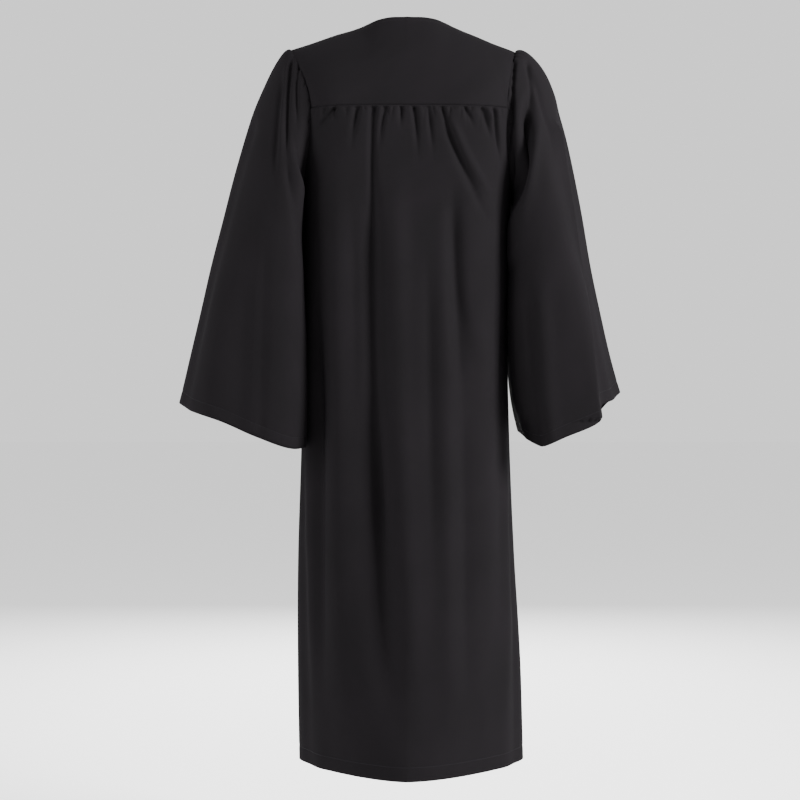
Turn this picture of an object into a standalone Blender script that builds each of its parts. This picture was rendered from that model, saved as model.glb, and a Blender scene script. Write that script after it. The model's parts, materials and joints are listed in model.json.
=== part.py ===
"""Graduation gown, filled out as worn and hollow: yoke, gathered back, two fronts, bell sleeves and zip.

Metres, +Z up. The front faces -Y and the wearer's left is +X. The origin is the middle of the neck,
level with the two places beside it where the yoke lies on the shoulders.
Every piece of cloth is a wall around one smooth form. Two shares place a point on that form:
across, from 0 on the centre line to 1 at the piece's side edge, negative on the wearer's right,
and down, from 0 on the shoulder line to 1 at the level of the yoke's seam, and on to the hem
below it. Down is positive on the back and negative on the front.
"""

import bmesh
import bpy
import numpy as np
from mathutils import Matrix, Vector

# Cloth and seams
WALL = 0.0014
SEAM_GAP = 0.0003
MITRE_LEAST = 0.4  # limits how far a wall's corner stands out where two panels meet sharply

# Heights
SEAM_Z = -0.143
ARMPIT_Z = -0.28
HEM_Z = -1.20
ZIP_END_Z = -0.75
DIP_Z = -0.335  # height on the centre line of the rows that end in the armpit

# Shoulders, armholes and neck
SHOULDER_TIP = {"left": 0.190, "right": 0.177}
ARMHOLE_DEPTH = 0.085  # from the side seam's plane to the back or front end of the armhole
FRONT_SEAM = -0.30  # the forward shoulder seam, as a share down the front
NECK_HALF = 0.078
NECK_BACK = 0.349
NECK_FRONT = -0.844
NECK_CORNER = 32.0  # degrees round the neck, where the yoke's lines to the armhole's back end start

# Zip
ZIP_SLOT = 0.0035  # from the centre line to the edge of each front
TAPE_WIDTH = 0.014
TAPE_FACE = 0.0011  # below the middle of the front's wall
TAPE_BACK = 0.0019
TAPE_FALL = 0.0003  # how much deeper the tape's outer edge lies, because the front rounds away
COIL_WIDTH = 0.0030
TAPE_TOP = -0.1066  # heights of the tapes' ends
TAPE_END = ZIP_END_Z + 0.006

# The slider and its pull, in a frame of their own: X across, Y up the zip, Z away from the cloth
SLIDER_LENGTH = 0.011
SLIDER_HALF = 0.0044
BRIDGE_HALF = 0.0026
PLATE_LOW = 0.0013
PLATE_HIGH = 0.0026
UNDER_HIGH = -0.0023
UNDER_LOW = -0.0033
BRIDGE_LENGTH = 0.0022
ARCH_HALF = 0.0009
ARCH_THICK = 0.0008
PIN_HEIGHT = 0.0041
PIN_UP = 0.0004  # the pull's pin above the middle of the slider
PIN_HALF = 0.0005
PULL_LENGTH = 0.024
PULL_HALF = 0.0032
PULL_TIP_HALF = 0.0026
EYE_HALF = 0.0015
EYE_LENGTH = 0.0050
SLIDER_TOP_GAP = 0.004  # from the neck's edge down to the slider's top

# How the rows of the meshes are spread
BACK_ROWS_CLOSER = 1.8  # the back's rows lie closer together near the yoke, by this power
BACK_ROWS_DIP = 2.5  # and keep level near the centre line, by this power of the share across
FRONT_ROWS_DIP = 1.6
UNDER_FADE = 0.3  # share along a sleeve where its rows under the arm are level with the rest again
CORNER_LEAST = 0.3  # keeps the draw of an edge short at a sharp corner

# Counts of cells in the meshes
ACROSS_BACK = 44
ACROSS_FRONT = 18
ACROSS_YOKE = 5
BACK_ARM_ROWS = 8
FRONT_LOW_ROWS = 6
FRONT_HIGH_ROWS = 4
NECK_ROWS = 6
HEAD_COUNT = 48
CUFF_COUNT = 36
HEAD_RINGS = 5  # rings of a sleeve that have the head's count

# Heights of the body's rows below the armpits, and places along a sleeve of its rings. Under the
# arm the first rings lie further along, where the sleeve turns down.
LOWER_Z = (-0.37, -0.42, -0.48, -0.55, -0.62, -0.69, -0.745, -0.755, -0.83, -0.92, -1.01, -1.10, HEM_Z)
SLEEVE_ALONG = (0.018, 0.045, 0.08, 0.125, 0.18, 0.25, 0.33, 0.42, 0.52, 0.63, 0.75, 0.87, 1.0)
UNDER_LONGER = 0.03

BLACK_CLOTH = (0.013, 0.012, 0.013)
COLOURS = {
    "cloth": (BLACK_CLOTH, 0.78, 0.0),
    "tape": ((0.010, 0.010, 0.011), 0.70, 0.0),
    "metal": ((0.035, 0.035, 0.038), 0.38, 0.9),
}


def table(columns, *rows):
    """The columns of a short table, by name."""
    return dict(zip(columns.split(), np.array(rows, float).T))


# Sections of the body from the yoke's seam to the hem, half widths and depths from the centre
BODY = table(
    "z left right back front square",
    (-1.20, 0.177, 0.191, 0.183, 0.170, 1.45),
    (-1.04, 0.179, 0.186, 0.172, 0.162, 1.7),
    (-0.86, 0.178, 0.175, 0.158, 0.153, 1.95),
    (-0.70, 0.173, 0.168, 0.145, 0.146, 2.2),
    (-0.40, 0.171, 0.164, 0.124, 0.130, 3.0),
    (-0.28, 0.168, 0.168, 0.119, 0.123, 3.4),
    (-0.143, 0.168, 0.1745, 0.115, 0.115, 4.0),
)

# Height of the shoulder line, from under the neck's back edge out to the tips
SHOULDER = table(
    "x left right",
    (0.000, 0.0345, 0.0345),
    (0.030, 0.0305, 0.0305),
    (0.051, 0.0195, 0.0200),
    (0.061, 0.0117, 0.0125),
    (0.071, 0.0046, 0.0055),
    (0.084, -0.0005, -0.0010),
    (0.110, -0.0088, -0.0115),
    (0.142, -0.0195, -0.0250),
    (0.177, -0.0310, -0.0380),
    (0.200, -0.0370, -0.0450),
)

# Gathers under the yoke's seam: place across, length down, depth and sideways drift, in metres
BACK_GATHERS = table(
    "x length depth drift",
    (0.127, 0.050, 0.0040, 0.018),
    (0.084, 0.085, 0.0040, 0.004),
    (0.053, 0.130, 0.0045, -0.006),
    (0.034, 0.060, 0.0035, 0.002),
    (0.010, 0.040, 0.0025, 0.000),
    (-0.014, 0.075, 0.0040, -0.004),
    (-0.033, 0.050, 0.0030, -0.004),
    (-0.046, 0.060, 0.0030, -0.006),
    (-0.062, 0.150, 0.0050, -0.055),
    (-0.090, 0.050, 0.0035, -0.006),
    (-0.114, 0.045, 0.0040, -0.004),
    (-0.137, 0.110, 0.0045, -0.004),
)
FRONT_GATHERS = table(
    "x length depth drift",
    (0.092, 0.070, 0.0035, -0.004),
    (0.108, 0.110, 0.0040, -0.008),
    (0.124, 0.080, 0.0035, -0.004),
    (0.140, 0.100, 0.0040, 0.000),
    (0.156, 0.060, 0.0035, 0.004),
)
GATHER_WIDTH = 0.0055
GATHER_PUFF = 0.0022  # how far the cloth stands out between gathers
GATHER_RISE = 0.005

# Long folds of the body: place across from the centre line at the top and the bottom,
# heights of both, half width and height of the fold, negative for a trough
BACK_FOLDS = table(
    "top low start end width height",
    (0.048, 0.044, -0.17, -1.20, 0.021, -0.0085),
    (0.100, 0.105, -0.22, -1.20, 0.030, 0.0060),
    (0.150, 0.158, -0.36, -1.20, 0.022, -0.0055),
    (0.190, 0.205, -0.50, -1.20, 0.026, 0.0060),
    (0.215, 0.255, -0.62, -1.20, 0.022, -0.0050),
    (-0.010, -0.030, -0.20, -1.20, 0.034, 0.0055),
    (-0.062, -0.085, -0.34, -1.20, 0.022, -0.0055),
    (-0.115, -0.125, -0.42, -1.20, 0.030, 0.0050),
    (-0.160, -0.175, -0.50, -1.20, 0.022, -0.0055),
    (-0.200, -0.225, -0.60, -1.20, 0.026, 0.0055),
    (-0.235, -0.270, -0.66, -1.20, 0.020, -0.0045),
)
FRONT_FOLDS = table(
    "top low start end width height",
    (0.058, 0.060, -0.16, -1.20, 0.020, 0.0055),
    (0.088, 0.096, -0.14, -1.20, 0.019, -0.0080),
    (0.122, 0.136, -0.24, -1.20, 0.024, 0.0060),
    (0.158, 0.178, -0.42, -1.20, 0.021, -0.0060),
    (0.196, 0.218, -0.52, -1.20, 0.025, 0.0055),
    (0.226, 0.258, -0.62, -1.20, 0.021, -0.0045),
)
FRONT_DRIFT = {"left": 0.004, "right": -0.005}  # so that the two fronts aren't mirror images
FOLD_FADE = 0.12  # height over which a long fold grows to its full depth
FLAT_FRONT = 0.026  # cloth beside the zip that stays flat
SIDE_CALM = 0.35  # share of a fold that is left beside a sleeve

# The sleeves, drawn for a sleeve on +X. Each cuff is a ring of points, from its outer edge round
# the back, the inner side and the front.
CUFFS = {
    "left": table(
        "x y z",
        (0.376, 0.000, -0.614),
        (0.352, 0.070, -0.626),
        (0.300, 0.115, -0.642),
        (0.235, 0.118, -0.670),
        (0.188, 0.100, -0.687),
        (0.167, 0.076, -0.685),
        (0.180, 0.000, -0.684),
        (0.167, -0.080, -0.684),
        (0.200, -0.108, -0.680),
        (0.262, -0.116, -0.661),
        (0.322, -0.104, -0.637),
        (0.361, -0.058, -0.620),
    ),
    "right": table(
        "x y z",
        (0.353, 0.000, -0.597),
        (0.337, 0.040, -0.609),
        (0.314, 0.074, -0.619),
        (0.306, 0.112, -0.643),
        (0.250, 0.122, -0.669),
        (0.214, 0.108, -0.684),
        (0.195, 0.072, -0.675),
        (0.189, 0.000, -0.660),
        (0.190, -0.070, -0.664),
        (0.220, -0.110, -0.678),
        (0.275, -0.118, -0.660),
        (0.325, -0.085, -0.630),
        (0.348, -0.040, -0.606),
    ),
}

# How a sleeve leaves the armhole and arrives at the cuff, over the arm, behind it, under it and
# in front: the handles of a cubic curve from one ring to the other
HANDLES = {
    "left": table(
        "out_x out_y out_z in_x in_y in_z",
        (0.072, 0.000, -0.037, -0.063, 0.000, 0.244),
        (0.040, 0.030, -0.060, -0.034, 0.000, 0.250),
        (0.030, 0.000, -0.012, -0.006, 0.000, 0.200),
        (0.040, -0.030, -0.060, -0.034, 0.000, 0.250),
    ),
    "right": table(
        "out_x out_y out_z in_x in_y in_z",
        (0.096, 0.000, 0.013, -0.070, 0.000, 0.227),
        (0.040, 0.030, -0.060, -0.034, 0.000, 0.250),
        (0.030, 0.000, -0.012, -0.060, 0.000, 0.165),
        (0.040, -0.030, -0.060, -0.034, 0.000, 0.250),
    ),
}
SLEEVE_CLEAR = 0.012  # between a sleeve and the body's side
CLEAR_FROM = 0.30  # share of the sleeve's length where it is fully clear
SLEEVE_ROUND = 0.70  # length once round a sleeve, for the widths of its folds

# Folds on a sleeve: places round it (0 over the arm, 0.25 behind, 0.5 under, 0.75 in front) and
# along it, for the start and the end of each fold, half width and height in metres
SLEEVE_FOLDS = {
    "left": table(
        "start_round start_along end_round end_along width height",
        (0.060, 0.020, 0.360, 0.300, 0.010, -0.0060),
        (0.020, 0.030, 0.250, 0.420, 0.016, 0.0050),
        (0.300, 0.240, 0.360, 1.300, 0.024, 0.0070),
        (0.245, 0.220, 0.290, 1.300, 0.024, -0.0075),
        (0.170, 0.200, 0.200, 1.300, 0.030, 0.0070),
        (0.100, 0.300, 0.110, 1.300, 0.024, -0.0055),
        (0.900, 0.250, 0.900, 1.300, 0.024, -0.0060),
        (0.830, 0.200, 0.815, 1.300, 0.028, 0.0065),
        (0.750, 0.220, 0.725, 1.300, 0.024, -0.0070),
        (0.680, 0.260, 0.650, 1.300, 0.024, 0.0060),
    ),
    "right": table(
        "start_round start_along end_round end_along width height",
        (0.050, 0.020, 0.400, 0.260, 0.011, -0.0075),
        (0.110, 0.020, 0.330, 0.420, 0.016, 0.0050),
        (0.130, 0.120, 0.215, 1.300, 0.013, 0.0060),
        (0.085, 0.140, 0.165, 1.300, 0.018, -0.0060),
        (0.235, 0.250, 0.300, 1.300, 0.026, -0.0060),
        (0.310, 0.300, 0.370, 1.300, 0.024, 0.0055),
        (0.910, 0.250, 0.905, 1.300, 0.024, -0.0055),
        (0.840, 0.220, 0.825, 1.300, 0.028, 0.0060),
        (0.760, 0.200, 0.740, 1.300, 0.024, -0.0070),
        (0.690, 0.260, 0.665, 1.300, 0.024, 0.0055),
    ),
}
SLEEVE_FADE = 0.07  # share of the length over which a sleeve's fold grows
HEAD_GATHERS = 13
HEAD_FROM = -0.27
HEAD_TO = 0.37
HEAD_DEPTH = 0.0032
HEAD_LENGTH = 0.16  # share of the sleeve's length
HEAD_RISE = 0.02


def curve(at, places, values):
    """A smooth curve through the points of a table, read at any places."""
    slopes = np.gradient(values, places)
    i = np.clip(np.searchsorted(places, at) - 1, 0, len(places) - 2)
    step = places[i + 1] - places[i]
    t = np.clip((at - places[i]) / step, 0, 1)
    level = values[i] * (1 + 2 * t) * (1 - t) ** 2 + values[i + 1] * t**2 * (3 - 2 * t)
    return level + step * (slopes[i] * t * (1 - t) ** 2 - slopes[i + 1] * t**2 * (1 - t))


def ease(t):
    """A soft step from 0 to 1."""
    t = np.clip(t, 0, 1)
    return t * t * (3 - 2 * t)


def body_sizes(z, on_left, on_back):
    """Half width, depth and squareness of the body's section at a height."""
    half = np.where(on_left, curve(z, BODY["z"], BODY["left"]), curve(z, BODY["z"], BODY["right"]))
    depth = np.where(on_back, curve(z, BODY["z"], BODY["back"]), curve(z, BODY["z"], BODY["front"]))
    return half, depth, curve(z, BODY["z"], BODY["square"])


def other_side(share, square):
    """The second coordinate of a squared circle of radius 1, from the first."""
    return np.maximum(1 - np.clip(share, 0, 1) ** square, 0) ** (1 / square)


def height_of(down):
    """The height of the section that a share down belongs to."""
    return SEAM_Z - np.maximum(np.abs(down) - 1, 0) * (SEAM_Z - HEM_Z)


def down_of(z):
    """The share down of a height below the yoke's seam."""
    return 1 + (SEAM_Z - z) / (SEAM_Z - HEM_Z)


def edge_turn(z, half, depth, square):
    """The direction of a panel's side edge, seen from above: the armhole, and the side seam below."""
    low = np.clip((SEAM_Z - z) / (SEAM_Z - ARMPIT_Z), 0, 1)
    out = ARMHOLE_DEPTH * np.sqrt(1 - low**2) / depth
    return np.arctan2(other_side(out, square), out)


def turn_of(across, down):
    """The direction of a point seen from above, 0 on the centre line. Columns run straight down
    near the centre line and spread only towards the sides."""
    z = height_of(down)
    on_left, on_back = across >= 0, down >= 0
    half, depth, square = body_sizes(z, on_left, on_back)
    first = edge_turn(SEAM_Z, *body_sizes(np.full_like(z, SEAM_Z), on_left, on_back))
    last = edge_turn(z, half, depth, square)
    share = np.abs(across)
    return np.sign(across) * (first * share + (last - first) * share**3)


def form(turn, down):
    """The point of the smooth form in a direction at a share down."""
    z = height_of(down)
    on_left, on_back = turn >= 0, down >= 0
    half, depth, square = body_sizes(z, on_left, on_back)
    c, s = np.abs(np.cos(turn)), np.abs(np.sin(turn))
    reach = (c**square + s**square) ** (-1 / square)
    x, y = half * reach * s, depth * reach * c
    tip = np.where(on_left, SHOULDER_TIP["left"], SHOULDER_TIP["right"])
    seam_half, seam_depth, seam_square = body_sizes(np.full_like(z, SEAM_Z), on_left, on_back)
    spread = tip / (seam_half * other_side(ARMHOLE_DEPTH / seam_depth, seam_square))
    tilt = np.clip(down, -1, 1) * np.pi / 2
    up = np.maximum(np.cos(tilt), 0)
    left = curve(x * spread, SHOULDER["x"], SHOULDER["left"])
    right = curve(x * spread, SHOULDER["x"], SHOULDER["right"])
    ridge = np.where(on_left, left, right)
    return np.stack(
        [
            np.where(on_left, 1, -1) * x * (1 + (spread - 1) * up**1.5),
            y * np.sin(tilt),
            z + (ridge - SEAM_Z) * up,
        ],
        axis=-1,
    )


def unit(vectors):
    return vectors / np.linalg.norm(vectors, axis=-1, keepdims=True)


def form_normal(turn, down):
    """The outward normal of the smooth form."""
    step = 1e-4
    along_turn = form(turn + step, down) - form(turn - step, down)
    along_down = form(turn, down + step) - form(turn, down - step)
    return unit(np.cross(along_turn, along_down))


def along_girth(turn, down):
    """Metres from the centre line round the body to a direction."""
    half, depth, _ = body_sizes(height_of(down), turn >= 0, down >= 0)
    return turn * (half + depth) / 2 * 1.1


def across_of(x, down):
    """The share across of a place at x, on the yoke and the upper front."""
    down = np.asarray(down, float)
    on_left = np.full(down.shape, True)
    z = np.full(down.shape, SEAM_Z)
    half, depth, square = body_sizes(z, on_left, down >= 0)
    spread = SHOULDER_TIP["left"] / (half * other_side(ARMHOLE_DEPTH / depth, square))
    up = np.maximum(np.cos(np.clip(down, -1, 1) * np.pi / 2), 0)
    out = x / (1 + (spread - 1) * up**1.5) / half
    return np.arctan2(out, other_side(out, square)) / edge_turn(z, half, depth, square)


def long_folds(folds, girth, z, shift=0.0):
    """Height of the long folds at a place round the body."""
    lift = np.zeros_like(girth)
    for top, low, start, end, width, height in zip(*folds.values()):
        middle = top + shift + (low - top) * np.clip((start - z) / (start - end), 0, 1)
        grown = ease((start - z) / FOLD_FADE)
        lift += height * grown * np.exp(-(((girth - middle) / width) ** 2))
    return lift


def gathers(rows, x, below):
    """Height of the cloth between and in the gathers, at a distance below their seam."""
    rise = 1 - np.exp(-np.maximum(below, 0) / GATHER_RISE)
    lift = GATHER_PUFF * rise * (1 - ease(below / rows["length"].max()))
    for place, length, depth, drift in zip(*rows.values()):
        middle = place + drift * np.clip(below / length, 0, 1)
        fade = rise * (1 - ease(below / length))
        width = GATHER_WIDTH * (1 + 0.6 * np.clip(below / length, 0, 1))
        lift -= depth * fade * np.exp(-(((x - middle) / width) ** 2))
    return lift


def calm_beside_sleeve(girth, z):
    """The share of a fold that is left near the sleeves, which hang close to the sides."""
    beside = ease((np.abs(girth) - 0.11) / 0.05) * ease((z + 0.80) / 0.10)
    return 1 - (1 - SIDE_CALM) * beside


def back_point(across, down):
    """A point and an outward normal of the gathered back."""
    turn = turn_of(across, down)
    point, normal = form(turn, down), form_normal(turn, down)
    girth, z = along_girth(turn, down), point[..., 2]
    lift = long_folds(BACK_FOLDS, girth, z) * calm_beside_sleeve(girth, z)
    lift += gathers(BACK_GATHERS, point[..., 0], SEAM_Z - z)
    lift *= ease((1 - np.abs(across)) / 0.10) * ease((SEAM_Z - z) / 0.004)
    return point + lift[..., None] * normal, normal


def front_point(across, down, side):
    """A point and an outward normal of a front, on the left or the right."""
    sign = 1 if side == "left" else -1
    turn = turn_of(across * sign, down)
    point, normal = form(turn, down), form_normal(turn, down)
    girth, z = np.abs(along_girth(turn, down)), point[..., 2]
    seam = form(turn_of(across * sign, np.full_like(down, FRONT_SEAM)), np.full_like(down, FRONT_SEAM))
    below = np.linalg.norm(point - seam, axis=-1) * (down < FRONT_SEAM - 1e-9)
    lift = long_folds(FRONT_FOLDS, girth, z, FRONT_DRIFT[side]) * calm_beside_sleeve(girth, z)
    lift += gathers(FRONT_GATHERS, np.abs(point[..., 0]), below)
    lift *= ease((1 - across) / 0.10) * ease((girth - FLAT_FRONT) / 0.02) * ease(below / 0.004)
    return point + lift[..., None] * normal, normal


def closed_curve(ring):
    """A smooth closed curve through the points of a ring, as many points evenly spaced by length."""
    points = np.stack(list(ring.values()), axis=1)
    around = np.concatenate([points[-3:], points, points[:3]])
    step = np.linalg.norm(np.diff(around, axis=0), axis=1)
    place = np.concatenate([[0], np.cumsum(step)])
    first, last = place[3], place[3 + len(points)]
    at = np.linspace(first, last, 721)
    fine = np.stack([curve(at, place, around[:, i]) for i in range(3)], axis=1)
    return (at - first) / (last - first), fine


def armhole_downs():
    """Shares down of the points that the panels have on the armhole, from the shoulder line round
    the back, the armpit and the front."""
    low = np.sin(np.radians(np.linspace(0, 90, BACK_ARM_ROWS + 1)))
    back = 1 + (down_of(ARMPIT_Z) - 1) * low
    front = -(1 + (down_of(ARMPIT_Z) - 1) * np.sin(np.radians(np.linspace(0, 90, FRONT_LOW_ROWS + 1))))
    upper = np.linspace(FRONT_SEAM, -1, FRONT_HIGH_ROWS + 1)
    wing = np.concatenate([np.linspace(FRONT_SEAM, 0, 3), np.linspace(0, 1, 7)[1:]])
    return wing, back, np.concatenate([upper, front[1:]])


WING_DOWNS, BACK_ARM_DOWNS, FRONT_ARM_DOWNS = armhole_downs()


def armhole_point(down, sign):
    """The armhole's edge at a share down. The sign is 1 on the wearer's left."""
    down = np.asarray(down, float)
    return form(turn_of(np.full(down.shape, float(sign)), down), down)


def armhole_round(sign):
    """The armhole as a fine closed curve, with the share of its length and a running place that
    goes from 0 on the shoulder line, down the back and up the front."""
    deepest = down_of(ARMPIT_Z)
    low = 1 + (deepest - 1) * np.sin(np.linspace(0, np.pi / 2, 200))
    back = np.concatenate([np.linspace(0, 1, 200), low[1:]])
    down = np.concatenate([back, -back[::-1][1:]])
    place = np.concatenate([back, 2 * deepest - back[::-1][1:]])
    points = armhole_point(down, sign)
    points[:, 0] *= sign
    length = np.concatenate([[0], np.cumsum(np.linalg.norm(np.diff(points, axis=0), axis=1))])
    return place, length / length[-1], points


def sleeve_form(around, along, side):
    """A point of the smooth sleeve, drawn on +X: a cubic curve from the armhole to the cuff, kept
    clear of the body's side."""
    sign = 1 if side == "left" else -1
    _, share, hole = armhole_round(sign)
    cuff_share, cuff = closed_curve(CUFFS[side])
    turn = around % 1
    start = np.stack([np.interp(turn, share, hole[:, i]) for i in range(3)], axis=-1)
    end = np.stack([np.interp(turn, cuff_share, cuff[:, i]) for i in range(3)], axis=-1)
    c, s = np.cos(2 * np.pi * turn), np.sin(2 * np.pi * turn)
    weights = np.stack([np.maximum(c, 0), np.maximum(s, 0), np.maximum(-c, 0), np.maximum(-s, 0)]) ** 2
    handles = HANDLES[side]
    leave = np.stack([np.tensordot(handles[n], weights, 1) for n in ("out_x", "out_y", "out_z")], -1)
    arrive = np.stack([np.tensordot(handles[n], weights, 1) for n in ("in_x", "in_y", "in_z")], -1)
    t = along[..., None]
    point = (
        start * (1 - t) ** 3
        + (start + leave) * 3 * t * (1 - t) ** 2
        + (end + arrive) * 3 * t**2 * (1 - t)
        + end * t**3
    )
    on_left = np.full(along.shape, side == "left")
    half, depth, square = body_sizes(point[..., 2], on_left, point[..., 1] >= 0)
    body_x = half * other_side(np.abs(point[..., 1]) / depth, square)
    gap = SLEEVE_CLEAR * ease(along / CLEAR_FROM)
    soft = 0.4 * gap + 1e-7
    beside = point[..., 0] - body_x
    point[..., 0] = body_x + gap + soft * np.logaddexp(0, (beside - gap) / soft)
    return point


def sleeve_point(around, along, side):
    """A point and an outward normal of a sleeve with its folds."""
    step = 2e-3
    point = sleeve_form(around, along, side)
    inner = np.minimum(np.maximum(along, step), 1 - step)
    along_round = sleeve_form(around + step, inner, side) - sleeve_form(around - step, inner, side)
    along_arm = sleeve_form(around, inner + step, side) - sleeve_form(around, inner - step, side)
    normal = unit(np.cross(along_arm, along_round))
    lift = np.zeros_like(along)
    folds = SLEEVE_FOLDS[side]
    for start_round, start, end_round, end, width, height in zip(*folds.values()):
        middle = start_round + (end_round - start_round) * np.clip((along - start) / (end - start), 0, 1)
        off = ((around - middle + 0.5) % 1 - 0.5) * SLEEVE_ROUND
        grown = ease((along - start) / SLEEVE_FADE) * ease((end - along) / SLEEVE_FADE)
        lift += height * grown * np.exp(-((off / width) ** 2))
    head = (around - HEAD_FROM + 0.5) % 1 - 0.5
    span = HEAD_TO - HEAD_FROM
    in_head = ease((head % 1) / 0.03) * ease((span - head % 1) / 0.03) * ((head % 1) < span)
    wave = np.cos(2 * np.pi * HEAD_GATHERS * (head % 1) / span)
    fade = ease(along / HEAD_RISE) * (1 - ease(along / HEAD_LENGTH))
    lift += HEAD_DEPTH * wave * in_head * fade
    under = np.maximum(-np.cos(2 * np.pi * around), 0) ** 2
    lift *= (1 - 0.75 * under) * ease(along / 0.01)
    point = point + lift[..., None] * normal
    if side == "right":
        point, normal = point * (-1, 1, 1), normal * (-1, 1, 1)
    return point, normal


def back_lines():
    """The back's rows, from the yoke's seam to the hem."""
    across = np.linspace(1, -1, ACROSS_BACK + 1)
    down_middle = 1 + (down_of(DIP_Z) - 1) * np.linspace(0, 1, BACK_ARM_ROWS + 1) ** BACK_ROWS_CLOSER
    level = np.abs(across) ** BACK_ROWS_DIP
    rows = [mid + (edge - mid) * level for mid, edge in zip(down_middle, BACK_ARM_DOWNS)]
    rows += [np.full(across.shape, down_of(z)) for z in LOWER_Z]
    across = with_gathers(across)
    return [(across, *back_point(across, down)) for down in rows]


def with_gathers(across):
    """The columns of the back, the nearest one moved into each gather."""
    across = across.copy()
    top = form(turn_of(across, np.ones_like(across)), np.ones_like(across))[:, 0]
    for x in BACK_GATHERS["x"]:
        across[np.argmin(np.abs(top - x))] = np.interp(x, top[::-1], across[::-1])
    return across


def neck(angle):
    """Shares across and down of the neck's edge, by degrees from the left shoulder to the back."""
    c, s = np.cos(np.radians(angle)), np.sin(np.radians(angle))
    down = np.where(s >= 0, NECK_BACK, -NECK_FRONT) * s
    x = NECK_HALF * np.where(s >= 0, np.abs(c), np.abs(c) ** 1.25)
    return np.sign(c) * across_of(x, down), down


def neck_front_angle():
    """Degrees round the neck where the forward shoulder seam starts."""
    return np.degrees(np.arcsin(FRONT_SEAM / -NECK_FRONT))


def yoke_lines():
    """The yoke's lines from the neck's edge to the armholes and the back's seam."""
    lowest = neck_front_angle()
    wing = lowest + (NECK_CORNER - lowest) * np.linspace(0, 1, len(WING_DOWNS))
    seam_across = with_gathers(np.linspace(1, -1, ACROSS_BACK + 1))
    seam = np.linspace(NECK_CORNER, 180 - NECK_CORNER, ACROSS_BACK + 1)
    angle = np.concatenate([wing, seam[1:-1], 180 - wing[::-1]])
    outer_down = np.concatenate([WING_DOWNS, np.ones(ACROSS_BACK - 1), WING_DOWNS[::-1]])
    ones = np.ones(len(WING_DOWNS))
    outer_across = np.concatenate([ones, seam_across[1:-1], -ones])
    inner_across, inner_down = neck(angle)
    lines = []
    for i in range(len(angle)):
        at_end = i in (0, len(angle) - 1)
        share = np.linspace(0, 1, (ACROSS_FRONT if at_end else ACROSS_YOKE) + 1)
        across = inner_across[i] + (outer_across[i] - inner_across[i]) * share
        down = inner_down[i] + (outer_down[i] - inner_down[i]) * share
        turn = turn_of(across, down)
        lines.append((share, form(turn, down), form_normal(turn, down)))
    return lines


def front_lines(side):
    """A front's rows, from the forward shoulder seam to the hem."""
    across_at_seam, _ = neck(neck_front_angle())
    angles = np.linspace(neck_front_angle(), -90, NECK_ROWS + 1)
    inner_across, inner_down = neck(angles)
    inner_down = np.concatenate([inner_down[:-1], centre_downs()])
    outer_down = np.concatenate([FRONT_ARM_DOWNS, inner_down[len(FRONT_ARM_DOWNS) :]])
    slot = np.where(height_of(inner_down) > ZIP_END_Z, ZIP_SLOT, 0.0)
    at_slot = across_of(slot, np.full_like(inner_down, -1.0))
    inner_across = np.maximum(np.pad(inner_across, (0, len(at_slot) - len(inner_across))), at_slot)
    share = np.linspace(0, 1, ACROSS_FRONT + 1)
    lines = []
    for first, start, end in zip(inner_across, inner_down, outer_down):
        across = first + (1 - first) * share
        down = start + (end - start) * share**FRONT_ROWS_DIP
        lines.append((share, *front_point(across, down, side)))
    return lines


def sleeve_lines(side):
    """A sleeve's rings, from the armhole to the cuff."""
    sign = 1 if side == "left" else -1
    place, share, _ = armhole_round(sign)
    deepest = down_of(ARMPIT_Z)
    downs = np.unique(np.concatenate([WING_DOWNS, BACK_ARM_DOWNS[1:], FRONT_ARM_DOWNS[1:-1]]))
    places = np.where(downs < 0, downs + 2 * deepest, downs)
    order = np.argsort(places)
    ring = armhole_point(downs[order], sign)
    _, normal = sleeve_point(np.interp(places[order], place, share), np.full(len(downs), 0.002), side)
    lines = [(np.interp(places[order], place, share), ring, normal)]
    for i, share in enumerate(SLEEVE_ALONG):
        count = HEAD_COUNT if i < HEAD_RINGS else CUFF_COUNT
        around = np.arange(count) / count
        under = np.maximum(-np.cos(2 * np.pi * around), 0) ** 2
        along = share + UNDER_LONGER * under * (1 - ease(share / UNDER_FADE))
        lines.append((around, *sleeve_point(around, along, side)))
    return lines


def strip(first, second, at_first, at_second):
    """Triangles between two rows of point numbers, whose places along the rows are given."""
    i = j = 0
    faces = []
    while i < len(first) - 1 or j < len(second) - 1:
        first_next = i < len(first) - 1 and (j == len(second) - 1 or at_first[i + 1] <= at_second[j + 1])
        if first_next:
            faces.append((first[i], first[i + 1], second[j]))
            i += 1
        else:
            faces.append((first[i], second[j + 1], second[j]))
            j += 1
    return faces


def sheet(lines, closed=False):
    """Points and triangles of a panel's middle surface, the triangles facing out."""
    points = np.concatenate([line[1] for line in lines])
    normals = np.concatenate([line[2] for line in lines])
    faces = []
    start = 0
    rows = []
    for at, line, _ in lines:
        numbers = list(range(start, start + len(line)))
        start += len(line)
        rows.append((numbers + numbers[:1], np.append(at, 1.0)) if closed else (numbers, at))
    for (first, at_first), (second, at_second) in zip(rows, rows[1:]):
        steps = (at_first, at_second) if at_first[-1] > at_first[0] else (-at_first, -at_second)
        faces += strip(first, second, *steps)
    faces = np.array(faces)
    flat = np.cross(points[faces[:, 1]] - points[faces[:, 0]], points[faces[:, 2]] - points[faces[:, 0]])
    if (flat * normals[faces[:, 0]]).sum() < 0:
        faces = faces[:, ::-1]
    return points, faces


def sheet_normals(points, faces):
    """Unit normals at a panel's points, from the triangles around each."""
    flat = np.cross(points[faces[:, 1]] - points[faces[:, 0]], points[faces[:, 2]] - points[faces[:, 0]])
    total = np.zeros_like(points)
    for corner in range(3):
        np.add.at(total, faces[:, corner], flat)
    return unit(total)


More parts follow.
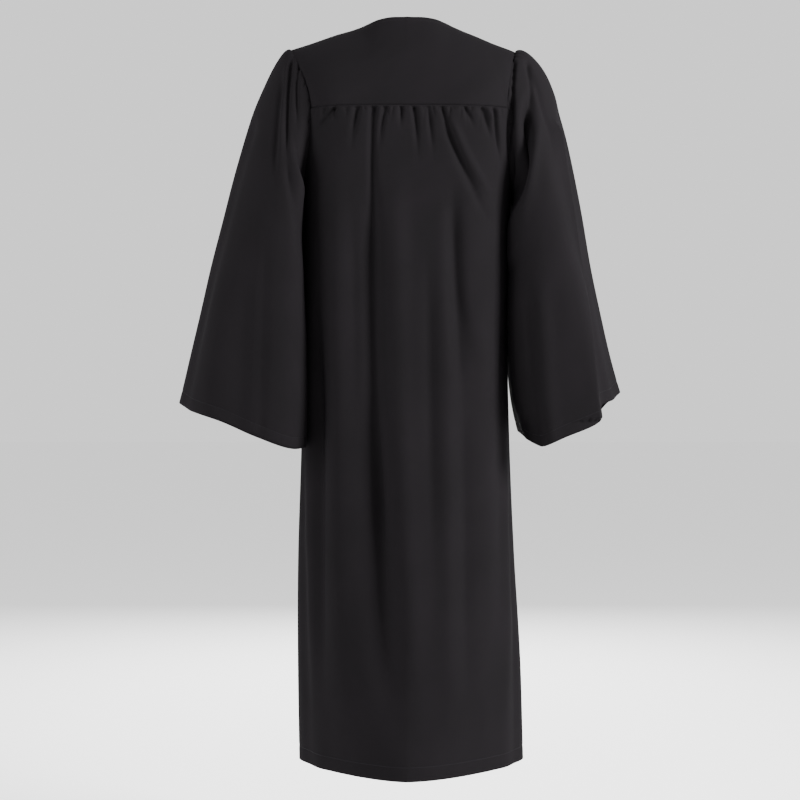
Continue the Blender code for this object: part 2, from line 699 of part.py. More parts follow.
def shared_offsets(sheets):
    """The way from each point of each panel to its wall's outer side, for a wall of half thickness
    1. It is the same for all panels that meet at a point, so that their walls are mitred there. A
    sleeve counts there as much as all the body's panels together."""
    keys = {}
    for name, (points, _) in sheets.items():
        keys[name] = [tuple(p) for p in np.round(points * 1e5).astype(int)]
    own = {name: sheet_normals(points, faces) for name, (points, faces) in sheets.items()}
    met = {}
    for name in sheets:
        for key, normal in zip(keys[name], own[name]):
            met.setdefault(key, {}).setdefault(name.startswith("sleeve"), []).append(normal)
    middle = {}
    for key, kinds in met.items():
        middle[key] = np.mean([np.mean(n, axis=0) for n in kinds.values()], axis=0)
    return {
        name: np.array([middle[key] / max(middle[key] @ middle[key], MITRE_LEAST) for key in keys[name]])
        for name in sheets
    }


def edge_moves(points, faces, offsets):
    """The moves that draw a panel's edges in by half the seam's gap, square to the mitre between
    the panels, and the edges themselves."""
    owner = {(a, b) for corners in faces for a, b in zip(corners, np.roll(corners, -1))}
    edges = sorted(edge for edge in owner if (edge[1], edge[0]) not in owner)
    inward = {}
    for a, b in edges:
        for i in (a, b):
            inward.setdefault(i, []).append(unit(np.cross(offsets[i], points[b] - points[a])))
    moves = np.zeros_like(points)
    for i, (one, two) in inward.items():
        moves[i] = (one + two) / max(1 + one @ two, CORNER_LEAST) * SEAM_GAP / 2
    return moves, edges


def wall(points, faces, offsets):
    """Vertices and faces of a closed wall around a panel's middle surface. The diagonals on its rim
    are chosen by position, the same way on both panels of a seam."""
    moves, edges = edge_moves(points, faces, offsets)
    middle = points + moves
    count = len(points)
    vertices = np.concatenate([middle + offsets * WALL / 2, middle - offsets * WALL / 2])
    inner = faces[:, ::-1] + count
    rim = []
    for a, b in edges:
        if tuple(np.round(points[a], 5)) < tuple(np.round(points[b], 5)):
            rim += [(b, a, b + count), (a, a + count, b + count)]
        else:
            rim += [(b, a, a + count), (b, a + count, b + count)]
    return vertices, np.concatenate([faces, inner, np.array(rim)])


def material(name):
    colour, roughness, metallic = COLOURS[name]
    made = bpy.data.materials.get(name)
    if made is None:
        made = bpy.data.materials.new(name)
        made.use_nodes = True
        shader = made.node_tree.nodes["Principled BSDF"]
        shader.inputs["Base Color"].default_value = (*colour, 1)
        shader.inputs["Roughness"].default_value = roughness
        shader.inputs["Metallic"].default_value = metallic
    return made


def make_object(name, vertices, faces, finish):
    mesh = bpy.data.meshes.new(name)
    mesh.from_pydata([tuple(map(float, v)) for v in vertices], [], [tuple(map(int, f)) for f in faces])
    mesh.update()
    made = bpy.data.objects.new(name, mesh)
    bpy.context.scene.collection.objects.link(made)
    mesh.materials.append(material(finish))
    return made


def build_cloth():
    """The six pieces of cloth."""
    sheets = {
        "yoke": sheet(yoke_lines()),
        "back": sheet([(-at, points, normals) for at, points, normals in back_lines()]),
        "front_left": sheet(front_lines("left")),
        "front_right": sheet(front_lines("right")),
        "sleeve_left": sheet(sleeve_lines("left"), closed=True),
        "sleeve_right": sheet(sleeve_lines("right"), closed=True),
    }
    offsets = shared_offsets(sheets)
    for name, (points, faces) in sheets.items():
        made = make_object(name, *wall(points, faces, offsets[name]), "cloth")
        made.data.shade_smooth()
        made.data.set_sharp_from_angle(angle=np.radians(50))


def centre_downs():
    """Shares down of the points that the fronts have on the centre line, from the neck to the hem."""
    count = len(FRONT_ARM_DOWNS) - NECK_ROWS
    upper = np.linspace(NECK_FRONT, -down_of(DIP_Z), count)
    return np.concatenate([upper, [-down_of(z) for z in LOWER_Z]])


def zip_path(z_values):
    """Points of the front's centre line at some heights, and the outward normals there. It runs
    straight between the fronts' own rows, so that the zip lies as close to them all the way."""
    downs = centre_downs()
    line, normals = form(np.zeros_like(downs), downs)[::-1], form_normal(np.zeros_like(downs), downs)[::-1]
    points = np.stack([np.interp(z_values, line[:, 2], line[:, i]) for i in range(3)], axis=1)
    between = np.stack([np.interp(z_values, line[:, 2], normals[:, i]) for i in range(3)], axis=1)
    return points, unit(between)


def build_tape(side):
    """Half of the zip: a woven tape behind the front and the rounded row of coils at its edge."""
    sign = 1 if side == "left" else -1
    rows = form(np.zeros_like(centre_downs()), centre_downs())[:, 2]
    rows = rows[(rows < TAPE_TOP - 0.002) & (rows > TAPE_END + 0.002)]
    z_values = np.concatenate([[TAPE_TOP], rows, [TAPE_END]])
    points, normals = zip_path(z_values)
    half_gap = SEAM_GAP / 2
    profile = table(
        "x deep",
        (half_gap, TAPE_BACK),
        (half_gap, -0.0003),
        (half_gap + 0.0007, -0.0008),
        (COIL_WIDTH - 0.0008, -0.0008),
        (COIL_WIDTH, 0.0002),
        (COIL_WIDTH, TAPE_FACE),
        (TAPE_WIDTH, TAPE_FACE + TAPE_FALL),
        (TAPE_WIDTH, TAPE_BACK + TAPE_FALL),
    )
    rings = [
        p + np.outer(profile["x"], (sign, 0, 0)) - np.outer(profile["deep"], n)
        for p, n in zip(points, normals)
    ]
    return tube("zip_tape_" + side, rings, "tape")


def tube(name, rings, finish):
    """A closed solid through rings of points, its two ends filled."""
    count = len(rings[0])
    mesh = bmesh.new()
    rows = [[mesh.verts.new(tuple(p)) for p in ring] for ring in rings]
    for one, two in zip(rows, rows[1:]):
        for i in range(count):
            j = (i + 1) % count
            mesh.faces.new((one[i], one[j], two[j], two[i]))
    mesh.faces.new(rows[0][::-1])
    mesh.faces.new(rows[-1])
    bmesh.ops.recalc_face_normals(mesh, faces=mesh.faces)
    data = bpy.data.meshes.new(name)
    mesh.to_mesh(data)
    mesh.free()
    made = bpy.data.objects.new(name, data)
    bpy.context.scene.collection.objects.link(made)
    data.materials.append(material(finish))
    return made


def box_rings(half, low, high, bottom, top):
    """Two rings for a block between two heights away from the cloth."""
    corners = ((-half, low), (half, low), (half, high), (-half, high))
    return [[(x, y, z) for x, z in corners] for y in (bottom, top)]


def arch_rings():
    """Rings along the small arch that holds the pull's pin."""
    inside = table(
        "y z",
        (-0.0034, PLATE_HIGH - 0.0004),
        (-0.0034, PIN_HEIGHT + 0.0002),
        (-0.0022, PIN_HEIGHT + 0.0012),
        (0.0020, PIN_HEIGHT + 0.0012),
        (0.0030, PIN_HEIGHT + 0.0002),
        (0.0030, PLATE_HIGH - 0.0004),
    )
    middle_y = -0.0002
    rings = []
    for y, z in zip(*inside.values()):
        out = np.sign(y - middle_y)
        top = z > PIN_HEIGHT + 0.001
        outer = (y + out * ARCH_THICK * (0.5 if top else 1), z + (ARCH_THICK if top else 0))
        rings.append([(x, *p) for x, p in ((-ARCH_HALF, (y, z)), (ARCH_HALF, (y, z)))]
                     + [(ARCH_HALF, *outer), (-ARCH_HALF, *outer)])
    return rings


NECK_EDGE_Z = float(form(np.zeros(1), np.array([NECK_FRONT]))[0, 2])


def slider_frame():
    """The place of the slider's own frame on the zip."""
    point, normal = zip_path(np.array([NECK_EDGE_Z - SLIDER_TOP_GAP - SLIDER_LENGTH / 2]))
    out = Vector((0, *normal[0, 1:])).normalized()
    across = Vector((1, 0, 0))
    up = out.cross(across)
    turn = Matrix((across, up, out)).transposed().to_4x4()
    return Matrix.Translation(Vector(point[0])) @ turn


def join(target, tools):
    """Unites the tools with the target and hides them."""
    for tool in tools:
        tool.hide_render = True
        tool.display_type = "WIRE"
        cut = target.modifiers.new("with_" + tool.name, "BOOLEAN")
        cut.operation = "UNION"
        cut.object = tool
        cut.solver = "EXACT"


def build_slider(place):
    """The slider: a plate in front of the coils, one behind, the bridge above and the arch."""
    half = SLIDER_LENGTH / 2
    plate = tube("zip_slider", box_rings(SLIDER_HALF, PLATE_LOW, PLATE_HIGH, -half, half), "metal")
    bridge = tube("bridge", box_rings(BRIDGE_HALF, UNDER_LOW + 0.0001, PLATE_HIGH - 0.0001,
                                      half - BRIDGE_LENGTH, half - 0.0001), "metal")
    under = tube("under", box_rings(SLIDER_HALF - 0.0002, UNDER_LOW, UNDER_HIGH, -half, half), "metal")
    arch = tube("arch", arch_rings(), "metal")
    for made in (plate, bridge, under, arch):
        made.matrix_world = place
    join(plate, (bridge, under, arch))


def build_pull(place):
    """The pull tab: a plate with an eye, whose top bar is the pin in the arch."""
    top = PIN_HALF
    eye_top = -PIN_HALF
    eye_low = eye_top - EYE_LENGTH
    low = top - PULL_LENGTH
    outer = [(-PULL_HALF, top), (-PULL_HALF, eye_low - 0.002), (-PULL_TIP_HALF, low + 0.002)]
    outer += [(-PULL_TIP_HALF + 0.0012, low), (PULL_TIP_HALF - 0.0012, low), (PULL_TIP_HALF, low + 0.002)]
    outer += [(PULL_HALF, eye_low - 0.002), (PULL_HALF, top)]
    eye = [(-EYE_HALF, eye_top), (-EYE_HALF, eye_low), (EYE_HALF, eye_low), (EYE_HALF, eye_top)]
    pull = tube("zip_pull", [[(x, y, z) for x, y in outer] for z in (-PIN_HALF, PIN_HALF)], "metal")
    hole = tube("eye", [[(x, y, z) for x, y in eye] for z in (-0.002, 0.002)], "metal")
    pin = place @ Matrix.Translation((0, PIN_UP, PIN_HEIGHT))
    pull.matrix_world = pin
    hole.matrix_world = pin
    hole.hide_render = True
    hole.display_type = "WIRE"
    cut = pull.modifiers.new("eye", "BOOLEAN")
    cut.operation = "DIFFERENCE"
    cut.object = hole
    cut.solver = "EXACT"


def main():
    for old in list(bpy.data.objects):
        bpy.data.objects.remove(old)
    build_cloth()
    for side in ("left", "right"):
        build_tape(side)
    place = slider_frame()
    build_slider(place)
    build_pull(place)
    print("pull pin", tuple(place @ Vector((0, PIN_UP, PIN_HEIGHT))), "axis", tuple(place.col[0][:3]))
    print("neck edge", NECK_EDGE_Z)


main()
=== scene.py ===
# Graduation gown in matte black polyester, worn hollow form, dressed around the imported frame.
# Metres, +Z up, the front faces -Y and the wearer's left is +X.
import json
import bmesh
import bpy
import numpy as np
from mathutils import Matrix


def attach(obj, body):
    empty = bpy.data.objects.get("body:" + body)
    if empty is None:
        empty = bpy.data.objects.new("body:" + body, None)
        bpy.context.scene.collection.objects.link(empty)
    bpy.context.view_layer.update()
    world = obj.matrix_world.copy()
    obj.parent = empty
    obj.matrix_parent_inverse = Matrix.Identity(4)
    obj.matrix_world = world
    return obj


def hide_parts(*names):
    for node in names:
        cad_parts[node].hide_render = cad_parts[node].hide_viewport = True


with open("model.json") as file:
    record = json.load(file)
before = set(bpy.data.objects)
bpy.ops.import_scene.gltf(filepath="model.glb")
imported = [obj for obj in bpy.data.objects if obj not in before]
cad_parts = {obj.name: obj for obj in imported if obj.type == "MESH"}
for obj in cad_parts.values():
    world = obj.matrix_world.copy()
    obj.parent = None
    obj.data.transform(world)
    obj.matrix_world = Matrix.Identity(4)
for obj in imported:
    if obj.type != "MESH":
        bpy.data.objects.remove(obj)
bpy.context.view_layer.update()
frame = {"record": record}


def table(columns, *rows):  # the columns of a short table, by name
    return dict(zip(columns.split(), np.array(rows, float).T))


# The smooth form that the whole gown is cut on, with the same driving sizes as its solids
bodyForm = {
    "seamZ": -0.143,
    "armpitZ": -0.28,
    "hemZ": -1.20,
    "zipEndZ": -0.75,
    "dipZ": -0.335,  # height on the centre line of the rows that end in the armpit
    "tip": {"left": 0.190, "right": 0.177},
    "armholeDepth": 0.085,
    "frontSeam": -0.30,  # the forward shoulder seam, as a share down the front
    "neckHalf": 0.078,
    "neckBack": 0.349,
    "neckFront": -0.844,
    "neckCorner": 32.0,
    "zipSlot": 0.0035,
    "sections": table(
        "z left right back front square",
        (-1.20, 0.177, 0.191, 0.183, 0.170, 1.45),
        (-1.04, 0.179, 0.186, 0.172, 0.162, 1.7),
        (-0.86, 0.178, 0.175, 0.158, 0.153, 1.95),
        (-0.70, 0.173, 0.168, 0.145, 0.146, 2.2),
        (-0.40, 0.171, 0.164, 0.124, 0.130, 3.0),
        (-0.28, 0.168, 0.168, 0.119, 0.123, 3.4),
        (-0.143, 0.168, 0.1745, 0.115, 0.115, 4.0),
    ),
    "shoulder": table(
        "x left right",
        (0.000, 0.0345, 0.0345),
        (0.030, 0.0305, 0.0305),
        (0.051, 0.0195, 0.0200),
        (0.061, 0.0117, 0.0125),
        (0.071, 0.0046, 0.0055),
        (0.084, -0.0005, -0.0010),
        (0.110, -0.0088, -0.0115),
        (0.142, -0.0195, -0.0250),
        (0.177, -0.0310, -0.0380),
        (0.200, -0.0370, -0.0450),
    ),
}

cloth = {
    "thick": 0.0008,  # gown polyester is about 0.3 mm, drawn a little fuller as two pressed layers
    "seamRise": 0.0018,  # the cloth swells beside a seam, which lies in the groove between
    "seamNear": 0.0025,
    "seamFar": 0.0110,
    "hemExtra": 0.0007,  # the turned hem's second layer, on the inside
    "hemEdge": 0.002,
    "hemBand": 0.030,  # the rows lie close together in this band above the hem
    "pinch": 0.0005,  # the cloth is drawn in along a line of stitches
    "pinchWide": 0.0022,
    "stitchSunk": 0.0003,
    "ripple": 0.0007,
}


def curve(at, places, values):  # a cubic through the table's points, with the slopes between their neighbours
    slopes = np.gradient(values, places)
    i = np.clip(np.searchsorted(places, at) - 1, 0, len(places) - 2)
    step = places[i + 1] - places[i]
    t = np.clip((at - places[i]) / step, 0, 1)
    level = values[i] * (1 + 2 * t) * (1 - t) ** 2 + values[i + 1] * t**2 * (3 - 2 * t)
    return level + step * (slopes[i] * t * (1 - t) ** 2 - slopes[i + 1] * t**2 * (1 - t))


def ease(t):  # a soft step from 0 to 1, three t squared less two t cubed
    t = np.clip(t, 0, 1)
    return t * t * (3 - 2 * t)


def unit(vectors):  # each vector over its length
    return vectors / np.maximum(np.linalg.norm(vectors, axis=-1, keepdims=True), 1e-12)


def bodySizes(z, onLeft, onBack):  # half width, depth and squareness read from the sections at a height
    s = bodyForm["sections"]
    half = np.where(onLeft, curve(z, s["z"], s["left"]), curve(z, s["z"], s["right"]))
    depth = np.where(onBack, curve(z, s["z"], s["back"]), curve(z, s["z"], s["front"]))
    return half, depth, curve(z, s["z"], s["square"])


def otherSide(share, square):  # the second coordinate of a squared circle of radius 1
    return np.maximum(1 - np.clip(share, 0, 1) ** square, 0) ** (1 / square)


def heightOf(down):  # a share down beyond 1 runs evenly from the yoke's seam to the hem
    return bodyForm["seamZ"] - np.maximum(np.abs(down) - 1, 0) * (bodyForm["seamZ"] - bodyForm["hemZ"])


def downOf(z):  # the share down of a height below the yoke's seam
    return 1 + (bodyForm["seamZ"] - z) / (bodyForm["seamZ"] - bodyForm["hemZ"])


def edgeTurn(z, half, depth, square):  # the armhole is a quarter ellipse seen from the side, then the side seam
    low = np.clip((bodyForm["seamZ"] - z) / (bodyForm["seamZ"] - bodyForm["armpitZ"]), 0, 1)
    out = bodyForm["armholeDepth"] * np.sqrt(1 - low**2) / depth
    return np.arctan2(otherSide(out, square), out)


def turnOf(across, down):  # columns run straight down near the centre and spread with the cube of the share
    z = heightOf(down)
    onLeft, onBack = across >= 0, down >= 0
    half, depth, square = bodySizes(z, onLeft, onBack)
    first = edgeTurn(bodyForm["seamZ"], *bodySizes(np.full_like(z, bodyForm["seamZ"]), onLeft, onBack))
    last = edgeTurn(z, half, depth, square)
    share = np.abs(across)
    return np.sign(across) * (first * share + (last - first) * share**3)


def form(turn, down):  # squared ellipse at each height, its top half tilted over onto the shoulder line
    z = heightOf(down)
    onLeft, onBack = turn >= 0, down >= 0
    half, depth, square = bodySizes(z, onLeft, onBack)
    c, s = np.abs(np.cos(turn)), np.abs(np.sin(turn))
    reach = (c**square + s**square) ** (-1 / square)
    x, y = half * reach * s, depth * reach * c
    tip = np.where(onLeft, bodyForm["tip"]["left"], bodyForm["tip"]["right"])
    seamHalf, seamDepth, seamSquare = bodySizes(np.full_like(z, bodyForm["seamZ"]), onLeft, onBack)
    spread = tip / (seamHalf * otherSide(bodyForm["armholeDepth"] / seamDepth, seamSquare))
    tilt = np.clip(down, -1, 1) * np.pi / 2
    up = np.maximum(np.cos(tilt), 0)
    line = bodyForm["shoulder"]
    left = curve(x * spread, line["x"], line["left"])
    right = curve(x * spread, line["x"], line["right"])
    ridge = np.where(onLeft, left, right)
    return np.stack(
        [
            np.where(onLeft, 1, -1) * x * (1 + (spread - 1) * up**1.5),
            y * np.sin(tilt),
            z + (ridge - bodyForm["seamZ"]) * up,
        ],
        axis=-1,
    )


def formNormal(turn, down):  # across both ways of a small step on the form
    step = 1e-4
    alongTurn = form(turn + step, down) - form(turn - step, down)
    alongDown = form(turn, down + step) - form(turn, down - step)
    return unit(np.cross(alongTurn, alongDown))


def alongGirth(turn, down):  # metres round the body: the direction times the mean radius
    half, depth, _ = bodySizes(heightOf(down), turn >= 0, down >= 0)
    return turn * (half + depth) / 2 * 1.1


def acrossOf(x, down):  # the share across of a place at x, on the yoke and the upper front
    down = np.asarray(down, float)
    z = np.full(down.shape, bodyForm["seamZ"])
    half, depth, square = bodySizes(z, np.full(down.shape, True), down >= 0)
    spread = bodyForm["tip"]["left"] / (half * otherSide(bodyForm["armholeDepth"] / depth, square))
    up = np.maximum(np.cos(np.clip(down, -1, 1) * np.pi / 2), 0)
    out = x / (1 + (spread - 1) * up**1.5) / half
    return np.arctan2(out, otherSide(out, square)) / edgeTurn(z, half, depth, square)


def ripple(u, v, phase=0.0):  # five slanted waves of unlike lengths, so that no stretch of cloth is quite flat
    waves = table(
        "u v phase size",
        (61.0, 17.0, 0.4, 0.35),
        (-38.0, 29.0, 1.9, 0.35),
        (92.0, -23.0, 3.1, 0.20),
        (24.0, 55.0, 4.4, 0.30),
        (131.0, 41.0, 5.2, 0.12),
    )
    return cloth["ripple"] * sum(
        size * np.sin(a * u + b * v + p + phase) for a, b, p, size in zip(*waves.values())
    )


def longFolds(folds, girth, z, shift=0.0):  # each fold is a bell across the girth, growing from its start height
    lift = np.zeros_like(girth)
    for top, low, start, end, width, height in zip(*folds.values()):
        middle = top + shift + (low - top) * np.clip((start - z) / (start - end), 0, 1)
        middle = middle + 0.0025 * np.sin(9 * z + 40 * top)
        grown = ease((start - z) / 0.12) * (1 - 0.6 * ease((-0.95 - z) / 0.25))
        lift += height * grown * np.exp(-(((girth - middle) / width) ** 2))
    return lift


def tucks(first, last, count, x, below):
    # The cloth puffs out below the seam and a bell-shaped groove divides it at each tuck. Lengths, leans
    # and places vary by sines of the tuck's number.
    lift = 0.0030 * (1 - np.exp(-np.maximum(below, 0) / 0.007)) * (1 - ease(below / 0.10))
    for i in range(count):
        place = first + (last - first) * (i + 0.5 + 0.30 * np.sin(2.7 * i)) / count
        length = 0.026 + 0.016 * np.sin(1.9 * i + 1)
        middle = place + 0.16 * np.sin(3.1 * i + 2) * below
        fade = (1 - np.exp(-np.maximum(below, 0) / 0.0015)) * (1 - ease(below / length))
        lift -= (0.0022 + 0.0007 * np.sin(4.3 * i)) * fade * np.exp(-(((x - middle) / 0.0024) ** 2))
    return lift


def calmBesideSleeve(girth, z):  # a fold keeps a third of its height where a sleeve hangs close to the side
    return 1 - 0.65 * ease((np.abs(girth) - 0.11) / 0.05) * ease((z + 0.80) / 0.10)


def seamSwell(away):  # nothing on the seam, most a few millimetres from it, fading by an exponential of the distance
    away = np.abs(away)
    return cloth["seamRise"] * (1 - np.exp(-away / cloth["seamNear"])) * np.exp(-away / cloth["seamFar"])


def creases(rows, x, z):
    # Each crease follows a bend through its start, pull and end points, as seen straight from behind or in
    # front. Its height is a bell of the distance from that line, or a sharp edge where sharp is 1, and it
    # is eased in and out over shares of its length. A lean makes one flank longer than the other.
    lift = np.zeros_like(x)
    t = np.linspace(0, 1, 15)[:, None]
    for x0, z0, x1, z1, x2, z2, width, height, fadeIn, fadeOut, lean, sharp in zip(*rows.values()):
        path = (1 - t) ** 2 * (x0, z0) + 2 * t * (1 - t) * (x1, z1) + t**2 * (x2, z2)
        away = np.full_like(x, 9.0)
        along, side = np.zeros_like(x), np.ones_like(x)
        for i, (one, two) in enumerate(zip(path, path[1:])):
            run = two - one
            share = np.clip(((x - one[0]) * run[0] + (z - one[1]) * run[1]) / (run @ run), 0, 1)
            offX, offZ = x - one[0] - share * run[0], z - one[1] - share * run[1]
            apart = np.hypot(offX, offZ)
            near = apart < away
            away = np.where(near, apart, away)
            along = np.where(near, (i + share) / (len(path) - 1), along)
            side = np.where(near, np.sign(offX), side)
        shape = np.exp(-((away / (width * (1 + lean * side))) ** (2 - sharp)))
        lift += height * shape * ease(along / (fadeIn + 1e-3)) * ease((1 - along) / (fadeOut + 1e-3))
    return lift


creaseColumns = "x0 z0 x1 z1 x2 z2 width height fadeIn fadeOut lean sharp"


def gridNormals(points):  # across the two ways of the grid
    return unit(np.cross(np.gradient(points, axis=0), np.gradient(points, axis=1)))


def lengths(points, axis):  # running length along one way of the grid
    step = np.linalg.norm(np.diff(points, axis=axis), axis=-1)
    zero = np.zeros_like(np.take(step, [0], axis=axis))
    return np.concatenate([zero, np.cumsum(step, axis=axis)], axis=axis)


def makePiece(name, vertices, faces, finish, uv=None, body="gown", slot="cloth", smooth=True):
    mesh = bpy.data.meshes.new(name)  # arrays straight into a mesh, with a UV map in metres of cloth
    mesh.from_pydata(np.asarray(vertices, np.float32), [], faces)
    if smooth:
        mesh.shade_smooth()
    if uv is not None:
        corners = np.zeros(len(mesh.loops), np.int32)
        mesh.loops.foreach_get("vertex_index", corners)
        layer = mesh.uv_layers.new(name="clothMetres")
        layer.data.foreach_set("uv", np.asarray(uv, np.float32)[corners].ravel())
    mesh.materials.append(finish)
    made = bpy.data.objects.new(name, mesh)
    bpy.context.scene.collection.objects.link(made)
    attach(made, body)
    return made


def shellOf(points, outward, outer, inner):  # a grid offset both ways along its normals, closed by a rim
    rows, columns = points.shape[:2]
    normals = gridNormals(points)
    flip = (normals * outward).sum() < 0
    if flip:
        normals = -normals
    outer = np.broadcast_to(outer, points.shape[:2])[..., None]
    inner = np.broadcast_to(inner, points.shape[:2])[..., None]
    count = rows * columns
    vertices = np.concatenate([(points + normals * outer).reshape(-1, 3), (points - normals * inner).reshape(-1, 3)])
    number = np.arange(count).reshape(rows, columns)
    quads = np.stack([number[:-1, :-1], number[1:, :-1], number[1:, 1:], number[:-1, 1:]], -1).reshape(-1, 4)
    edge = np.concatenate([number[0, :], number[1:, -1], number[-1, -2::-1], number[-2:0:-1, 0]])
    after = np.roll(edge, -1)
    rim = np.stack([edge, after, after + count, edge + count], -1)
    if flip:
        quads, rim = quads[:, ::-1], rim[:, ::-1]
    faces = np.concatenate([quads, quads[:, ::-1] + count, rim])
    uv = np.stack([lengths(points, 1), lengths(points, 0)], -1).reshape(-1, 2)
    return vertices, faces, np.concatenate([uv, uv])


def stitchRun(name, points, normals, finish, pitch=0.0032, body="gown", slot="cloth"):
    # one small bead for each stitch: a squashed ball stretched along the path, half sunk in the cloth
    run = np.concatenate([[0], np.cumsum(np.linalg.norm(np.diff(points, axis=0), axis=1))])
    at = np.arange(pitch / 2, run[-1], pitch)
    place = np.stack([np.interp(at, run, points[:, i]) for i in range(3)], -1)
    up = unit(np.stack([np.interp(at, run, normals[:, i]) for i in range(3)], -1))
    before, after = (np.stack([np.interp(at + d, run, points[:, i]) for i in range(3)], -1) for d in (-1e-4, 1e-4))
    ahead = unit(after - before)
    side = np.cross(up, ahead)
    rings, sides = 5, 6
    t = np.linspace(-1, 1, rings)
    a = np.arange(sides) * 2 * np.pi / sides
    wide = np.sqrt(np.maximum(1 - t**2, 0.02))[:, None]
    reach = t[:, None] * np.ones(sides) * pitch * 0.40
    ball = np.stack([reach, wide * np.cos(a) * 0.00028, wide * np.sin(a) * 0.00022], -1).reshape(-1, 3)
    vertices = (
        place[:, None] + ball[:, 0, None] * ahead[:, None] + ball[:, 1, None] * side[:, None]
        + ball[:, 2, None] * up[:, None]
    ).reshape(-1, 3)
    number = np.arange(rings * sides).reshape(rings, sides)
    around = np.roll(number, -1, axis=1)
    quads = np.stack([number[:-1], around[:-1], around[1:], number[1:]], -1).reshape(-1, 4)
    caps = np.array([[0, 5, 4, 1], [1, 4, 3, 2], [24, 25, 28, 29], [25, 26, 27, 28]])
    one = np.concatenate([quads, caps])
    faces = (one[None] + (np.arange(len(at)) * rings * sides)[:, None, None]).reshape(-1, 4)
    return makePiece(name, vertices, faces, finish, body=body, slot=slot)


# Materials
def linear(colour):  # sRGB hex to linear red, green, blue and alpha
    parts = np.array([int(colour[i : i + 2], 16) / 255 for i in (1, 3, 5)])
    parts = np.where(parts <= 0.04045, parts / 12.92, ((parts + 0.055) / 1.055) ** 2.4)
    return (*parts, 1.0)


def addNode(tree, kind, settings=(), links=()):  # a node with its settings and links
    node = tree.nodes.new(kind)
    for key, value in dict(settings).items():
        if isinstance(key, int) or key in node.inputs:
            node.inputs[key].default_value = value
        else:
            setattr(node, key, value)
    for key, source in dict(links).items():
        tree.links.new(source, node.inputs[key])
    return node


def newMaterial(name, **sockets):  # a material with its Principled shader's constants set
    made = bpy.data.materials.new(name)
    made.use_nodes = True
    shader = made.node_tree.nodes["Principled BSDF"]
    for key, value in sockets.items():
        shader.inputs[key.replace("_", " ")].default_value = value
    return made, made.node_tree, shader


polyester = {
    "colour": "#111011",
    # the lighter tone of the cloudy patches of painted sheen
    "worn": "#161416",
    "thread": 0.0009,  # real threads are about 0.25 mm apart, drawn coarser so that they show close up
    "bump": 0.00006,
}


def wovenMattePolyester():
    # Plain-woven spun-look polyester: matte, near black, a faint fibre sheen at grazing angles, and a fine crossed
    # thread grain close up.
    # Soft cloudy patches of a lighter tone in its colour are painted sheen from the fibres.
    made, tree, shader = newMaterial("wovenMattePolyester", Roughness=0.8, Sheen_Weight=0.01, Sheen_Roughness=0.5)
    shader.inputs["Sheen Tint"].default_value = linear("#8f8a96")
    shader.inputs["Specular IOR Level"].default_value = 0.01
    where = addNode(tree, "ShaderNodeUVMap", {"uv_map": "clothMetres"})
    scale = 0.314 / polyester["thread"]  # a band repeats every 0.314 over the scale
    warp, weft = (
        addNode(
            tree, "ShaderNodeTexWave", {"bands_direction": way, "Scale": scale, "Distortion": 0.4},
            {"Vector": where.outputs[0]},
        )
        for way in "XY"
    )
    crossed = {0: warp.outputs["Fac"], 1: weft.outputs["Fac"]}
    weave = addNode(tree, "ShaderNodeMath", {"operation": "MULTIPLY"}, crossed)
    slub = addNode(tree, "ShaderNodeTexNoise", {"Scale": 260.0, "Detail": 3.0}, {"Vector": where.outputs[0]})
    high = addNode(tree, "ShaderNodeMath", {"operation": "ADD"}, {0: weave.outputs[0], 1: slub.outputs["Fac"]})
    bump = addNode(
        tree, "ShaderNodeBump", {"Strength": 0.5, "Distance": polyester["bump"]}, {"Height": high.outputs[0]}
    )
    tree.links.new(bump.outputs[0], shader.inputs["Normal"])
    # a large noise mixes the lighter tone into the colour in soft patches: painted sheen from the fibres
    sheenCloud = addNode(tree, "ShaderNodeTexNoise", {"Scale": 9.0, "Detail": 4.0}, {"Vector": where.outputs[0]})
    mixed = addNode(
        tree, "ShaderNodeMix",
        {"data_type": "RGBA", 6: linear(polyester["colour"]), 7: linear(polyester["worn"])},
        {0: sheenCloud.outputs["Fac"]},
    )
    tree.links.new(mixed.outputs[2], shader.inputs["Base Color"])
    return made


def twistedThread():
    # Twisted polyester sewing thread: a little smoother and shinier than the cloth that it lies in
    made, tree, shader = newMaterial("twistedPolyesterThread", Roughness=0.6, Specular_IOR_Level=0.1)
    where = addNode(tree, "ShaderNodeTexCoord")
    twist = addNode(
        tree, "ShaderNodeTexWave", {"bands_direction": "DIAGONAL", "Scale": 600.0},
        {"Vector": where.outputs["Object"]},
    )
    mixed = addNode(
        tree, "ShaderNodeMix", {"data_type": "RGBA", 6: linear("#151416"), 7: linear("#232125")},
        {0: twist.outputs["Fac"]},
    )
    tree.links.new(mixed.outputs[2], shader.inputs["Base Color"])
    return made


def wovenZipTape():
    # Herringbone polyester tape: matte, with fine lengthwise ribs
    made, tree, shader = newMaterial("wovenZipTape", Roughness=0.75, Specular_IOR_Level=0.12)
    where = addNode(tree, "ShaderNodeTexCoord")
    ribs = addNode(
        tree, "ShaderNodeTexWave", {"bands_direction": "X", "Scale": 320.0, "Distortion": 0.6},
        {"Vector": where.outputs["Object"]},
    )
    bump = addNode(tree, "ShaderNodeBump", {"Strength": 0.6, "Distance": 0.0001}, {"Height": ribs.outputs["Fac"]})
    tree.links.new(bump.outputs[0], shader.inputs["Normal"])
    mixed = addNode(
        tree, "ShaderNodeMix", {"data_type": "RGBA", 6: linear("#161517"), 7: linear("#252427")},
        {0: ribs.outputs["Fac"]},
    )
    tree.links.new(mixed.outputs[2], shader.inputs["Base Color"])
    return made


